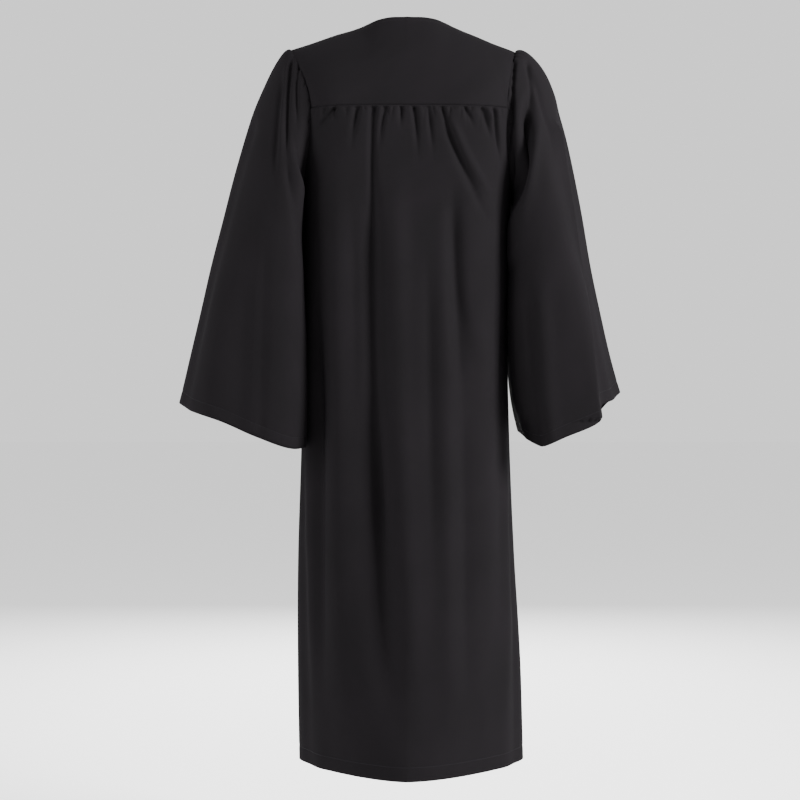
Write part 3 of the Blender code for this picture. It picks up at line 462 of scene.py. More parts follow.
def drawnNylon():
    # Drawn nylon monofilament of the coil: smooth, dark, with a soft plastic gloss
    made, tree, shader = newMaterial("drawnNylonCoil", Roughness=0.34, IOR=1.53)
    where = addNode(tree, "ShaderNodeTexCoord")
    dust = addNode(tree, "ShaderNodeTexNoise", {"Scale": 900.0, "Detail": 2.0}, {"Vector": where.outputs["Object"]})
    mixed = addNode(
        tree, "ShaderNodeMix", {"data_type": "RGBA", 6: linear("#131315"), 7: linear("#202023")},
        {0: dust.outputs["Fac"]},
    )
    tree.links.new(mixed.outputs[2], shader.inputs["Base Color"])
    return made


def enamelledZinc():
    # Black stoving enamel on die-cast zinc: an even satin coat, rubbed a little greyer here and there
    made, tree, shader = newMaterial(
        "enamelledZinc", Roughness=0.3, Specular_IOR_Level=0.3, Coat_Weight=0.2, Coat_Roughness=0.15
    )
    where = addNode(tree, "ShaderNodeTexCoord")
    rubbed = addNode(
        tree, "ShaderNodeTexNoise", {"Scale": 420.0, "Detail": 5.0}, {"Vector": where.outputs["Object"]}
    )
    mixed = addNode(
        tree, "ShaderNodeMix", {"data_type": "RGBA", 6: linear("#1a1a1c"), 7: linear("#38383c")},
        {0: rubbed.outputs["Fac"]},
    )
    tree.links.new(mixed.outputs[2], shader.inputs["Base Color"])
    grain = addNode(
        tree, "ShaderNodeBump", {"Strength": 0.25, "Distance": 0.00005}, {"Height": rubbed.outputs["Fac"]}
    )
    tree.links.new(grain.outputs[0], shader.inputs["Normal"])
    return made


finishes = {
    "cloth": wovenMattePolyester(),
    "thread": twistedThread(),
    "tape": wovenZipTape(),
    "coil": drawnNylon(),
    "metal": enamelledZinc(),
}
print("finishes made")

# The gathered back panel, from the yoke's seam to the hem
backPanel = {
    "columns": 256,
    "armRows": 60,
    "lowRows": 100,
    "hemRows": 12,
    "hemWide": 0.022,
    "tucks": (0.150, -0.150, 34),
    "creases": table(
        creaseColumns,
        (0.128, -0.144, 0.132, -0.155, 0.136, -0.166, 0.0030, -0.0030, 0.0, 0.6, 0.0, 0.0),
        (0.113, -0.144, 0.128, -0.160, 0.150, -0.187, 0.0045, -0.0055, 0.0, 0.6, 0.0, 0.0),
        (0.078, -0.144, 0.084, -0.167, 0.091, -0.225, 0.0050, -0.0055, 0.0, 0.7, 0.0, 0.0),
        (0.053, -0.144, 0.060, -0.215, 0.052, -0.420, 0.0060, -0.0065, 0.0, 0.6, 0.0, 0.0),
        (0.034, -0.144, 0.042, -0.175, 0.046, -0.230, 0.0045, -0.0050, 0.0, 0.7, 0.0, 0.0),
        (0.010, -0.144, 0.010, -0.160, 0.011, -0.185, 0.0040, -0.0040, 0.0, 0.7, 0.0, 0.0),
        (-0.011, -0.144, -0.015, -0.175, -0.017, -0.245, 0.0045, -0.0050, 0.0, 0.7, 0.0, 0.0),
        (-0.033, -0.144, -0.037, -0.175, -0.042, -0.240, 0.0045, -0.0045, 0.0, 0.7, 0.0, 0.0),
        (-0.054, -0.144, -0.072, -0.215, -0.134, -0.318, 0.0045, -0.0050, 0.0, 0.6, 0.0, 0.0),
        (-0.066, -0.155, -0.094, -0.235, -0.145, -0.300, 0.0070, 0.0035, 0.2, 0.4, 0.0, 0.0),
        (-0.053, -0.160, -0.086, -0.252, -0.142, -0.345, 0.0060, -0.0035, 0.2, 0.4, 0.0, 0.0),
        (-0.090, -0.144, -0.099, -0.160, -0.107, -0.184, 0.0040, -0.0040, 0.0, 0.7, 0.0, 0.0),
        (-0.118, -0.144, -0.124, -0.167, -0.136, -0.205, 0.0045, -0.0050, 0.0, 0.6, 0.0, 0.0),
        (-0.129, -0.146, -0.132, -0.156, -0.138, -0.175, 0.0035, 0.0035, 0.1, 0.6, 0.0, 0.0),
        (-0.137, -0.144, -0.140, -0.183, -0.150, -0.245, 0.0035, -0.0060, 0.0, 0.5, 0.0, 0.0),
        (0.054, -0.220, 0.058, -0.640, 0.028, -1.060, 0.0150, -0.0150, 0.20, 0.4, 0.3, 0.0),
        (0.058, -0.560, 0.050, -0.860, 0.022, -1.160, 0.0260, -0.0150, 0.4, 0.3, 0.0, 0.0),
        (0.020, -0.190, 0.014, -0.640, -0.018, -1.180, 0.0190, 0.0070, 0.2, 0.3, 0.0, 0.0),
        (0.112, -0.200, 0.108, -0.700, 0.104, -1.200, 0.0200, 0.0075, 0.2, 0.3, 0.0, 0.0),
        (0.088, -0.260, 0.084, -0.480, 0.082, -0.760, 0.0110, -0.0045, 0.3, 0.5, 0.0, 0.0),
        (-0.074, -0.250, -0.072, -0.420, -0.090, -0.640, 0.0130, -0.0105, 0.3, 0.4, 0.0, 0.0),
        (-0.078, -0.400, -0.092, -0.480, -0.108, -0.600, 0.0110, -0.0030, 0.5, 0.5, 0.0, 0.0),
        (-0.034, -0.340, -0.032, -0.600, -0.044, -0.960, 0.0120, -0.0045, 0.3, 0.5, 0.0, 0.0),
        (-0.062, -0.340, -0.060, -0.700, -0.066, -1.180, 0.0150, 0.0045, 0.3, 0.3, 0.0, 0.0),
        (-0.088, -0.560, -0.090, -0.850, -0.096, -1.160, 0.0120, -0.0040, 0.3, 0.4, 0.0, 0.0),
        (-0.122, -0.340, -0.125, -0.750, -0.130, -1.180, 0.0170, 0.0050, 0.3, 0.4, 0.0, 0.0),
        (-0.150, -0.450, -0.152, -0.800, -0.158, -1.160, 0.0110, -0.0035, 0.4, 0.5, 0.0, 0.0),
        (0.145, -0.400, 0.146, -0.860, 0.140, -1.180, 0.0130, -0.0150, 0.3, 0.4, 0.0, 0.0),
    ),
    "sideFolds": table(
        "top low start end width height",
        (0.190, 0.205, -0.50, -1.20, 0.026, 0.0060),
        (0.215, 0.255, -0.62, -1.20, 0.022, -0.0050),
        (-0.200, -0.225, -0.60, -1.20, 0.026, 0.0055),
        (-0.235, -0.270, -0.66, -1.20, 0.020, -0.0045),
    ),
}


def backPoint(across, down):  # the form, lifted along its normal by the folds, gathers and seams
    turn = turnOf(across, down)
    point, normal = form(turn, down), formNormal(turn, down)
    girth, x, z = alongGirth(turn, down), point[..., 0], point[..., 2]
    below = bodyForm["seamZ"] - z
    lift = longFolds(backPanel["sideFolds"], girth, z) * calmBesideSleeve(girth, z)
    lift += creases(backPanel["creases"], x, z) * ease(point[..., 1] / 0.03)
    lift += tucks(*backPanel["tucks"], x, below) + ripple(girth, z)
    lift *= ease((1 - np.abs(across)) / 0.10) * ease(below / 0.005)
    lift += seamSwell(below) + seamSwell((1 - np.abs(across)) * 0.17)
    return point + lift[..., None] * normal, normal


def lowerRows(panel):  # shares down from the armhole's last row to the hem, on the centre line and at the side
    band = bodyForm["hemZ"] + cloth["hemBand"]
    low = np.linspace(bodyForm["dipZ"], band, panel["lowRows"] + 1)[1:]
    hem = np.linspace(band, bodyForm["hemZ"], panel["hemRows"] + 1)[1:]
    count = len(low) + len(hem)
    side = np.interp(
        np.arange(count) + 1, [0, len(low), count], [bodyForm["armpitZ"], band, bodyForm["hemZ"]]
    )
    return downOf(np.concatenate([low, hem])), downOf(side)


def hemmedShell(points, normals, above, wide):
    # A bell-shaped groove along the stitches at the hem's width, and a second layer below them on the inside
    pinch = -cloth["pinch"] * np.exp(-(((above - wide) / cloth["pinchWide"]) ** 2))
    doubled = cloth["hemExtra"] * ease((wide - above) / cloth["hemEdge"])
    half = cloth["thick"] / 2
    return shellOf(points + pinch[..., None] * normals, normals, half, half + doubled)


def sewnRow(name, path, up, pitch=0.0032):  # stitches sunk a little into the cloth's outer face
    sunk = cloth["thick"] / 2 - cloth["stitchSunk"]
    return stitchRun(name, path + up * sunk, up, finishes["thread"], pitch)


def buildBack():
    across = np.linspace(1, -1, backPanel["columns"] + 1)
    t = np.linspace(0, 1, backPanel["armRows"] + 1)
    middle = 1 + (downOf(bodyForm["dipZ"]) - 1) * t**1.8
    edge = 1 + (downOf(bodyForm["armpitZ"]) - 1) * np.sin(t * np.pi / 2)
    lower, sideLower = lowerRows(backPanel)
    middle = np.concatenate([middle, lower])
    edge = np.concatenate([edge, sideLower])
    down = middle[:, None] + (edge - middle)[:, None] * np.abs(across) ** 2.5
    across = np.broadcast_to(across, down.shape)
    points, normals = backPoint(across, down)
    above = points[..., 2] - bodyForm["hemZ"]
    vertices, faces, uv = hemmedShell(points, normals, above, backPanel["hemWide"])
    made = makePiece("backPanel", vertices, faces, finishes["cloth"], uv)
    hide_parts("back")
    stitchAcross = np.linspace(0.985, -0.985, 600)
    stitchDown = np.full(600, downOf(bodyForm["hemZ"] + backPanel["hemWide"]))
    path, up = backPoint(stitchAcross, stitchDown)
    hemLine = sewnRow("backHemStitches", path, up)
    print("back panel made")
    return made


buildBack()

# The two fronts, gathered into the forward shoulder seam and open along the zip
fronts = {
    "columns": 120,
    "armRows": 44,
    "lowRows": 120,
    "hemRows": 12,
    "neckRows": 16,
    "highRows": 12,
    "hemWide": 0.022,
    "tucks": (0.080, 0.172, 11),
    "creases": table(
        creaseColumns,
        (0.092, -0.040, 0.091, -0.090, 0.084, -0.170, 0.0050, -0.0050, 0.0, 0.6, 0.0, 0.0),
        (0.108, -0.044, 0.104, -0.110, 0.094, -0.240, 0.0060, -0.0060, 0.0, 0.6, 0.0, 0.0),
        (0.126, -0.050, 0.126, -0.100, 0.120, -0.190, 0.0050, -0.0050, 0.0, 0.6, 0.0, 0.0),
        (0.142, -0.054, 0.144, -0.110, 0.138, -0.220, 0.0055, -0.0055, 0.0, 0.6, 0.0, 0.0),
        (0.157, -0.058, 0.160, -0.090, 0.158, -0.140, 0.0045, -0.0045, 0.0, 0.6, 0.0, 0.0),
    ),
    "folds": table(
        "top low start end width height",
        (0.058, 0.060, -0.16, -1.20, 0.020, 0.0055),
        (0.088, 0.096, -0.14, -1.20, 0.019, -0.0080),
        (0.122, 0.136, -0.24, -1.20, 0.024, 0.0060),
        (0.158, 0.178, -0.42, -1.20, 0.021, -0.0060),
        (0.196, 0.218, -0.52, -1.20, 0.025, 0.0055),
        (0.226, 0.258, -0.62, -1.20, 0.021, -0.0045),
    ),
    "drift": {"left": 0.004, "right": -0.005},
    "flatFront": 0.026,
}


def frontPoint(across, down, side):  # as the back, with the gathers measured from the forward shoulder seam
    sign = 1 if side == "left" else -1
    turn = turnOf(across * sign, down)
    point, normal = form(turn, down), formNormal(turn, down)
    girth, z = np.abs(alongGirth(turn, down)), point[..., 2]
    seamDown = np.full_like(down, bodyForm["frontSeam"])
    seam = form(turnOf(across * sign, seamDown), seamDown)
    below = np.linalg.norm(point - seam, axis=-1) * (down < bodyForm["frontSeam"] - 1e-9)
    lift = longFolds(fronts["folds"], girth, z, fronts["drift"][side]) * calmBesideSleeve(girth, z)
    x = np.abs(point[..., 0])
    lift += tucks(*fronts["tucks"], x, below) + ripple(girth, z, 2.0 * sign)
    lift += creases(fronts["creases"], x, z) * ease(-point[..., 1] / 0.02)
    lift *= ease((1 - across) / 0.10) * ease((girth - fronts["flatFront"]) / 0.02) * ease(below / 0.004)
    lift += seamSwell(below) + seamSwell((1 - across) * 0.17)
    lift += 0.6 * seamSwell(girth) * ease((bodyForm["zipEndZ"] - z) / 0.02)
    return point + lift[..., None] * normal, normal


def neckLine(angle):  # an ellipse of shares across and down, by degrees from the left shoulder to the back
    c, s = np.cos(np.radians(angle)), np.sin(np.radians(angle))
    down = np.where(s >= 0, bodyForm["neckBack"], -bodyForm["neckFront"]) * s
    x = bodyForm["neckHalf"] * np.where(s >= 0, np.abs(c), np.abs(c) ** 1.25)
    return np.sign(c) * acrossOf(x, down), down


neckFrontAngle = np.degrees(np.arcsin(bodyForm["frontSeam"] / -bodyForm["neckFront"]))


def buildFront(side):
    f = fronts
    share = np.linspace(0, 1, f["columns"] + 1)
    high = np.linspace(bodyForm["frontSeam"], -1, f["highRows"] + 1)
    arm = -(1 + (downOf(bodyForm["armpitZ"]) - 1) * np.sin(np.linspace(0, np.pi / 2, f["armRows"] + 1)))
    outer = np.concatenate([high, arm[1:]])
    count = len(outer)
    innerAcross, innerDown = neckLine(np.linspace(neckFrontAngle, -90, f["neckRows"] + 1))
    upper = np.linspace(bodyForm["neckFront"], -downOf(bodyForm["dipZ"]), count - f["neckRows"])
    innerDown = np.concatenate([innerDown[:-1], upper])
    lower, sideLower = lowerRows(f)
    innerDown = np.concatenate([innerDown, -lower])
    outer = np.concatenate([outer, -sideLower])
    slot = bodyForm["zipSlot"] * ease((heightOf(innerDown) - bodyForm["zipEndZ"]) / 0.006)
    atSlot = acrossOf(slot, np.full_like(innerDown, -1.0))
    innerAcross = np.maximum(np.pad(innerAcross, (0, len(atSlot) - len(innerAcross))), atSlot)
    across = innerAcross[:, None] + (1 - innerAcross)[:, None] * share
    down = innerDown[:, None] + (outer - innerDown)[:, None] * share**1.6
    points, normals = frontPoint(across, down, side)
    vertices, faces, uv = hemmedShell(points, normals, points[..., 2] - bodyForm["hemZ"], f["hemWide"])
    name = side + "Front"
    made = makePiece(name, vertices, faces, finishes["cloth"], uv)
    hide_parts("front_" + side)
    stitchAcross = np.linspace(0.01, 0.985, 300)
    stitchDown = np.full(300, -downOf(bodyForm["hemZ"] + f["hemWide"]))
    path, up = frontPoint(stitchAcross, stitchDown, side)
    hemLine = sewnRow(name + "HemStitches", path, up)
    zipDown = -downOf(np.linspace(-0.16, bodyForm["zipEndZ"], 300))
    zipDown = np.concatenate([np.linspace(bodyForm["neckFront"] - 0.03, -1.02, 40), zipDown])
    zipAcross = acrossOf(np.full_like(zipDown, 0.0105), np.full_like(zipDown, -1.0))
    path, up = frontPoint(zipAcross, zipDown, side)
    zipRow = sewnRow(name + "ZipStitches", path, up, pitch=0.0028)
    print(name, "made")
    return made


for side in ("left", "right"):
    buildFront(side)

# The yoke over both shoulders, in one piece
yokePiece = {"wingColumns": 60, "frontColumns": 18, "seamColumns": 180, "rows": 44, "stitchRow": 3}


def yokeEdges():  # shares across and down of the neck's edge and of the outer edge, in the same order
    toShoulder = np.linspace(bodyForm["frontSeam"], 0, yokePiece["frontColumns"])
    toSeam = np.linspace(0, 1, yokePiece["wingColumns"] - yokePiece["frontColumns"] + 1)
    wing = np.concatenate([toShoulder, toSeam[1:]])
    angles = neckFrontAngle + (bodyForm["neckCorner"] - neckFrontAngle) * np.linspace(0, 1, len(wing))
    seam = np.linspace(1, -1, yokePiece["seamColumns"] + 1)[1:-1]
    corner = bodyForm["neckCorner"]
    seamAngles = np.linspace(corner, 180 - corner, yokePiece["seamColumns"] + 1)[1:-1]
    angle = np.concatenate([angles, seamAngles, 180 - angles[::-1]])
    outerDown = np.concatenate([wing, np.ones(len(seam)), wing[::-1]])
    outerAcross = np.concatenate([np.ones(len(wing)), seam, -np.ones(len(wing))])
    return neckLine(angle), (outerAcross, outerDown)


def buildYoke():
    (innerAcross, innerDown), (outerAcross, outerDown) = yokeEdges()
    share = np.linspace(0, 1, yokePiece["rows"] + 1)[:, None]
    across = innerAcross + (outerAcross - innerAcross) * share
    down = innerDown + (outerDown - innerDown) * share
    turn = turnOf(across, down)
    points, normals = form(turn, down), formNormal(turn, down)
    outerPoints = points[-1]
    away = np.linalg.norm(points - outerPoints, axis=-1)
    toFront = np.linalg.norm(points - points[:, :1], axis=-1)
    toFrontRight = np.linalg.norm(points - points[:, -1:], axis=-1)
    lift = ripple(points[..., 0], points[..., 2] + points[..., 1]) * ease(away / 0.01)
    lift += 0.3 * seamSwell(away) * ease(toFront / 0.01) * ease(toFrontRight / 0.01)
    points = points + lift[..., None] * normals
    half = cloth["thick"] / 2
    neckTurn = cloth["hemExtra"] * (1 - ease((np.linalg.norm(points - points[:1], axis=-1) - 0.010) / 0.002))
    vertices, faces, uv = shellOf(points, normals, half, half + neckTurn)
    made = makePiece("yokeShell", vertices, faces, finishes["cloth"], uv)
    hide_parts("yoke")
    path, up = points[yokePiece["stitchRow"]], normals[yokePiece["stitchRow"]]
    neckRow = stitchRun("neckStitches", path + up * (half - 0.0001), up, finishes["thread"])
    print("yoke made")
    return made


buildYoke()

# The bell sleeves, drawn for a sleeve on +X and mirrored for the right
sleeves = {
    "aroundFront": 106,
    "aroundBack": 184,
    "along": 132,
    "length": 0.62,  # from the armhole to the cuff, about
    "rowPower": 1.35,  # rows lie closer together near the gathered head
    "hemRows": (0.3, 0.6, 0.85, 0.95, 1.0, 1.05, 1.15, 1.4),  # more rows at the hem, in shares of its width
    "hemWide": 0.016,
    "clear": 0.009,
    "clearFrom": 0.30,
    "round": 0.70,
    "head": {"count": 21, "reach": 0.31, "depth": 0.0019, "length": 0.055, "puff": 0.0040, "puffAt": 0.035},
    "creases": {
        "left": table(
            creaseColumns,
            (0.184, -0.052, 0.197, -0.128, 0.190, -0.240, 0.0040, -0.0060, 0.1, 0.3, 0.0, 0.0),
            (0.191, -0.205, 0.188, -0.305, 0.178, -0.400, 0.0050, -0.0060, 0.3, 0.4, 0.0, 0.0),
            (0.198, -0.080, 0.209, -0.176, 0.212, -0.300, 0.0050, -0.0045, 0.2, 0.5, 0.0, 0.0),
            (0.172, -0.060, 0.181, -0.104, 0.174, -0.190, 0.0035, -0.0045, 0.1, 0.4, 0.0, 0.0),
            (0.191, -0.060, 0.204, -0.150, 0.201, -0.280, 0.0050, 0.0040, 0.2, 0.5, 0.0, 0.0),
            (0.248, -0.260, 0.258, -0.470, 0.268, -0.740, 0.0220, -0.0060, 0.4, 0.0, 0.0, 0.0),
            (0.222, -0.300, 0.228, -0.500, 0.236, -0.740, 0.0100, -0.0035, 0.4, 0.0, 0.0, 0.0),
            (0.290, -0.340, 0.310, -0.500, 0.322, -0.740, 0.0200, 0.0050, 0.4, 0.0, 0.0, 0.0),
        ),
        "right": table(
            creaseColumns,
            (0.192, -0.055, 0.202, -0.095, 0.202, -0.150, 0.0045, -0.0060, 0.2, 0.3, 0.0, 0.0),
            (0.200, -0.105, 0.190, -0.215, 0.160, -0.370, 0.0105, -0.0230, 0.30, 0.4, 0.0, 0.0),
            (0.204, -0.130, 0.204, -0.235, 0.160, -0.405, 0.0070, 0.0080, 0.25, 0.4, 0.5, 0.0),
            (0.168, -0.120, 0.163, -0.165, 0.158, -0.235, 0.0045, -0.0055, 0.2, 0.4, 0.0, 0.0),
            (0.174, -0.060, 0.166, -0.112, 0.166, -0.190, 0.0035, -0.0045, 0.1, 0.4, 0.0, 0.0),
            (0.196, -0.070, 0.226, -0.140, 0.232, -0.240, 0.0050, -0.0035, 0.2, 0.6, 0.0, 0.0),
            (0.238, -0.150, 0.266, -0.350, 0.300, -0.640, 0.0095, 0.0115, 0.08, 0.0, -0.60, 1.0),
            (0.262, -0.200, 0.288, -0.360, 0.322, -0.640, 0.0080, -0.0030, 0.2, 0.0, 0.0, 0.0),
            (0.212, -0.380, 0.216, -0.500, 0.232, -0.720, 0.0130, 0.0040, 0.4, 0.0, 0.0, 0.0),
            (0.192, -0.400, 0.196, -0.520, 0.208, -0.720, 0.0080, -0.0050, 0.3, 0.0, 0.0, 0.0),
        ),
    },
    "cuffs": {
        "left": table(
            "x y z",
            (0.376, 0.000, -0.614),
            (0.352, 0.070, -0.626),
            (0.300, 0.115, -0.642),
            (0.235, 0.118, -0.670),
            (0.188, 0.100, -0.687),
            (0.167, 0.076, -0.685),
            (0.180, 0.000, -0.684),
            (0.167, -0.080, -0.684),
            (0.200, -0.108, -0.680),
            (0.262, -0.116, -0.661),
            (0.322, -0.104, -0.637),
            (0.361, -0.058, -0.620),
        ),
        "right": table(
            "x y z",
            (0.353, 0.000, -0.597),
            (0.337, 0.040, -0.609),
            (0.314, 0.074, -0.619),
            (0.306, 0.112, -0.643),
            (0.250, 0.122, -0.669),
            (0.214, 0.108, -0.684),
            (0.195, 0.072, -0.675),
            (0.189, 0.000, -0.660),
            (0.190, -0.070, -0.664),
            (0.220, -0.110, -0.678),
            (0.275, -0.118, -0.660),
            (0.325, -0.085, -0.630),
            (0.348, -0.040, -0.606),
        ),
    },
    "handles": {
        "left": table(
            "outX outY outZ inX inY inZ",
            (0.072, 0.000, -0.037, -0.063, 0.000, 0.244),
            (0.040, 0.030, -0.060, -0.034, 0.000, 0.250),
            (0.030, 0.000, -0.012, -0.006, 0.000, 0.200),
            (0.040, -0.030, -0.060, -0.034, 0.000, 0.250),
        ),
        "right": table(
            "outX outY outZ inX inY inZ",
            (0.096, 0.000, 0.013, -0.070, 0.000, 0.227),
            (0.040, 0.030, -0.060, -0.034, 0.000, 0.250),
            (0.030, 0.000, -0.012, -0.060, 0.000, 0.165),
            (0.040, -0.030, -0.060, -0.034, 0.000, 0.250),
        ),
    },
    "folds": {
        "left": table(
            "startRound startAlong endRound endAlong width height",
            (0.060, 0.300, 0.070, 1.300, 0.024, -0.0050),
            (0.330, 0.200, 0.345, 1.900, 0.055, 0.0190),
            (0.640, 0.080, 0.640, 0.900, 0.040, 0.0130),
            (0.900, 0.250, 0.900, 1.300, 0.024, -0.0060),
            (0.830, 0.200, 0.815, 1.300, 0.028, 0.0065),
            (0.750, 0.220, 0.725, 1.300, 0.024, -0.0070),
            (0.680, 0.260, 0.650, 1.300, 0.024, 0.0060),
        ),
        "right": table(
            "startRound startAlong endRound endAlong width height",
            (0.030, 0.300, 0.030, 1.300, 0.024, -0.0045),
            (0.640, 0.060, 0.640, 0.820, 0.045, 0.0230),
            (0.395, 0.080, 0.405, 0.960, 0.050, 0.0150),
            (0.405, 0.060, 0.405, 0.520, 0.045, 0.0120),
            (0.910, 0.250, 0.905, 1.300, 0.024, -0.0055),
            (0.840, 0.220, 0.825, 1.300, 0.028, 0.0060),
            (0.760, 0.200, 0.740, 1.300, 0.024, -0.0070),
            (0.690, 0.260, 0.665, 1.300, 0.024, 0.0055),
        ),
    },
}


def closedCurve(ring):  # a smooth closed curve through the ring's points, by share of its length
    points = np.stack(list(ring.values()), axis=1)
    around = np.concatenate([points[-3:], points, points[:3]])
    place = np.concatenate([[0], np.cumsum(np.linalg.norm(np.diff(around, axis=0), axis=1))])
    first, last = place[3], place[3 + len(points)]
    at = np.linspace(first, last, 721)
    fine = np.stack([curve(at, place, around[:, i]) for i in range(3)], axis=1)
    return (at - first) / (last - first), fine


def armholeRound(side):  # the armhole's edge from the shoulder down the back and up the front, by share of its length
    sign = 1 if side == "left" else -1
    low = 1 + (downOf(bodyForm["armpitZ"]) - 1) * np.sin(np.linspace(0, np.pi / 2, 200))
    back = np.concatenate([np.linspace(0, 1, 200), low[1:]])
    down = np.concatenate([back, -back[::-1][1:]])
    points = form(turnOf(np.full(down.shape, float(sign)), down), down)
    points[:, 0] *= sign
    length = np.concatenate([[0], np.cumsum(np.linalg.norm(np.diff(points, axis=0), axis=1))])
    return length / length[-1], points


armholes = {side: armholeRound(side) for side in ("left", "right")}
cuffRings = {side: closedCurve(sleeves["cuffs"][side]) for side in ("left", "right")}


def sleeveForm(around, along, side):  # a cubic from the armhole to the cuff, kept clear of the body's side
    share, hole = armholes[side]
    cuffShare, cuff = cuffRings[side]
    turn = around % 1
    start = np.stack([np.interp(turn, share, hole[:, i]) for i in range(3)], axis=-1)
    end = np.stack([np.interp(turn, cuffShare, cuff[:, i]) for i in range(3)], axis=-1)
    c, s = np.cos(2 * np.pi * turn), np.sin(2 * np.pi * turn)
    weights = np.stack([np.maximum(c, 0), np.maximum(s, 0), np.maximum(-c, 0), np.maximum(-s, 0)]) ** 2
    handles = sleeves["handles"][side]
    leave = np.stack([np.tensordot(handles[n], weights, 1) for n in ("outX", "outY", "outZ")], -1)
    arrive = np.stack([np.tensordot(handles[n], weights, 1) for n in ("inX", "inY", "inZ")], -1)
    t = along[..., None]
    point = (
        start * (1 - t) ** 3
        + (start + leave) * 3 * t * (1 - t) ** 2
        + (end + arrive) * 3 * t**2 * (1 - t)
        + end * t**3
    )
    onLeft = np.full(along.shape, side == "left")
    half, depth, square = bodySizes(point[..., 2], onLeft, point[..., 1] >= 0)
    bodyX = half * otherSide(np.abs(point[..., 1]) / depth, square)
    gap = sleeves["clear"] * ease(along / sleeves["clearFrom"])
    soft = 0.4 * gap + 1e-7
    pushed = bodyX + gap + soft * np.logaddexp(0, (point[..., 0] - bodyX - gap) / soft)
    point[..., 0] += (pushed - point[..., 0]) * ease(along / 0.04)
    return point


def sleevePoint(around, along, side):  # the form, lifted by its folds, the gathers of its head and its seams
    step = 2e-3
    point = sleeveForm(around, along, side)
    inner = np.minimum(np.maximum(along, step), 1 - step)
    alongRound = sleeveForm(around + step, inner, side) - sleeveForm(around - step, inner, side)
    alongArm = sleeveForm(around, inner + step, side) - sleeveForm(around, inner - step, side)
    normal = unit(np.cross(alongArm, alongRound))
    lift = np.zeros_like(along)
    for startRound, start, endRound, end, width, height in zip(*sleeves["folds"][side].values()):
        middle = startRound + (endRound - startRound) * np.clip((along - start) / (end - start), 0, 1)
        off = ((around - middle + 0.5) % 1 - 0.5) * sleeves["round"]
        grown = ease((along - start) / 0.07) * ease((end - along) / 0.07)
        lift += height * grown * np.exp(-((off / width) ** 2))
    h = sleeves["head"]
    over = np.maximum(np.cos(2 * np.pi * around), 0)
    lift += h["puff"] * over * along / h["puffAt"] * np.exp(1 - along / h["puffAt"])
    for i in range(h["count"]):
        middle = h["reach"] * (2 * (i + 0.5 + 0.3 * np.sin(2.3 * i)) / h["count"] - 1) + 0.12 * np.sin(2.9 * i) * along
        off = ((around - middle + 0.5) % 1 - 0.5) * sleeves["round"]
        fade = ease(along / 0.008) * (1 - ease(along / (h["length"] * (1 + 0.5 * np.sin(1.7 * i)))))
        lift -= h["depth"] * fade * np.exp(-((off / 0.0038) ** 2))
    under = np.maximum(-np.cos(2 * np.pi * around), 0) ** 2
    lift += ripple(around * sleeves["round"], along * 0.6, 1.0 if side == "left" else 4.0)
    lift += creases(sleeves["creases"][side], point[..., 0], point[..., 2]) * ease(point[..., 1] / 0.06)
    lift *= (1 - 0.75 * under) * ease(along / 0.01)
    lift += seamSwell(along * 0.5) * (1 - 0.7 * over)
    point = point + lift[..., None] * normal
    if side == "right":
        point, normal = point * (-1, 1, 1), normal * (-1, 1, 1)
    return point, normal


def buildSleeve(side):
    s = sleeves
    front = np.linspace(0.5, 1, s["aroundFront"] + 1)
    around = np.concatenate([front[:-1], np.linspace(1, 1.5, s["aroundBack"] + 1)])
    share = np.linspace(0, 1, s["along"] + 1) ** s["rowPower"]
    hem = s["hemWide"] / s["length"]
    share = np.sort(np.concatenate([share, 1 - hem * np.array(s["hemRows"])]))[:, None]
    under = np.maximum(-np.cos(2 * np.pi * around), 0) ** 2
    along = share + 0.03 * under * ease(share / 0.02) * (1 - ease(share / 0.3))
    around = np.broadcast_to(around, along.shape)
    points, normals = sleevePoint(around, along, side)
    outward = normals[len(share) // 2, s["aroundFront"], 0] * (1 if side == "left" else -1)
    normals = normals * (1 if outward > 0 else -1)
    vertices, faces, uv = hemmedShell(points, normals, (1 - along) * s["length"], s["hemWide"])
    name = side + "Sleeve"
    made = makePiece(name, vertices, faces, finishes["cloth"], uv)
    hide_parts("sleeve_" + side)
    ring = np.linspace(0.502, 1.498, 500)
    path, up = sleevePoint(ring, np.full(500, 1 - hem), side)
    nearest = np.searchsorted(around[0], ring)
    up = up * np.sign((up * normals[-20, nearest]).sum(-1, keepdims=True))
    cuffLine = sewnRow(name + "HemStitches", path, up)
    print(name, "made")
    return made


for side in ("left", "right"):
    buildSleeve(side)

# The zip down the front: woven tapes, nylon coils, the slider and its pull
zipFront = {
    "edgeTurns": 440,  # coils in each half, about one each 1.45 mm
    "tapeInner": 0.0004,
    "tapeOuter": 0.014,
    "tapeDeep": 0.0016,  # below the middle of the front's cloth
    "tapeThick": 0.0006,
    "tapeTop": -0.1066,
    "coilMiddle": 0.0013,
    "coilReach": 0.0014,
    "coilHigh": 0.00055,
    "wire": 0.00026,
    "pinUp": 0.0004,
    "pinHigh": 0.0041,
}


def zipLine(z):  # the smooth form's centre line down the front, with its outward normals
    downs = np.concatenate([np.linspace(bodyForm["neckFront"], -1, 40)[:-1], -downOf(np.linspace(-0.143, -0.78, 200))])
    line, normals = form(np.zeros_like(downs), downs), formNormal(np.zeros_like(downs), downs)
    order = np.argsort(line[:, 2])
    points = np.stack([np.interp(z, line[order, 2], line[order, i]) for i in range(3)], -1)
    outward = np.stack([np.interp(z, line[order, 2], normals[order, i]) for i in range(3)], -1)
    outward = outward * np.sign(-outward[:, 1:2])
    return points, unit(outward)


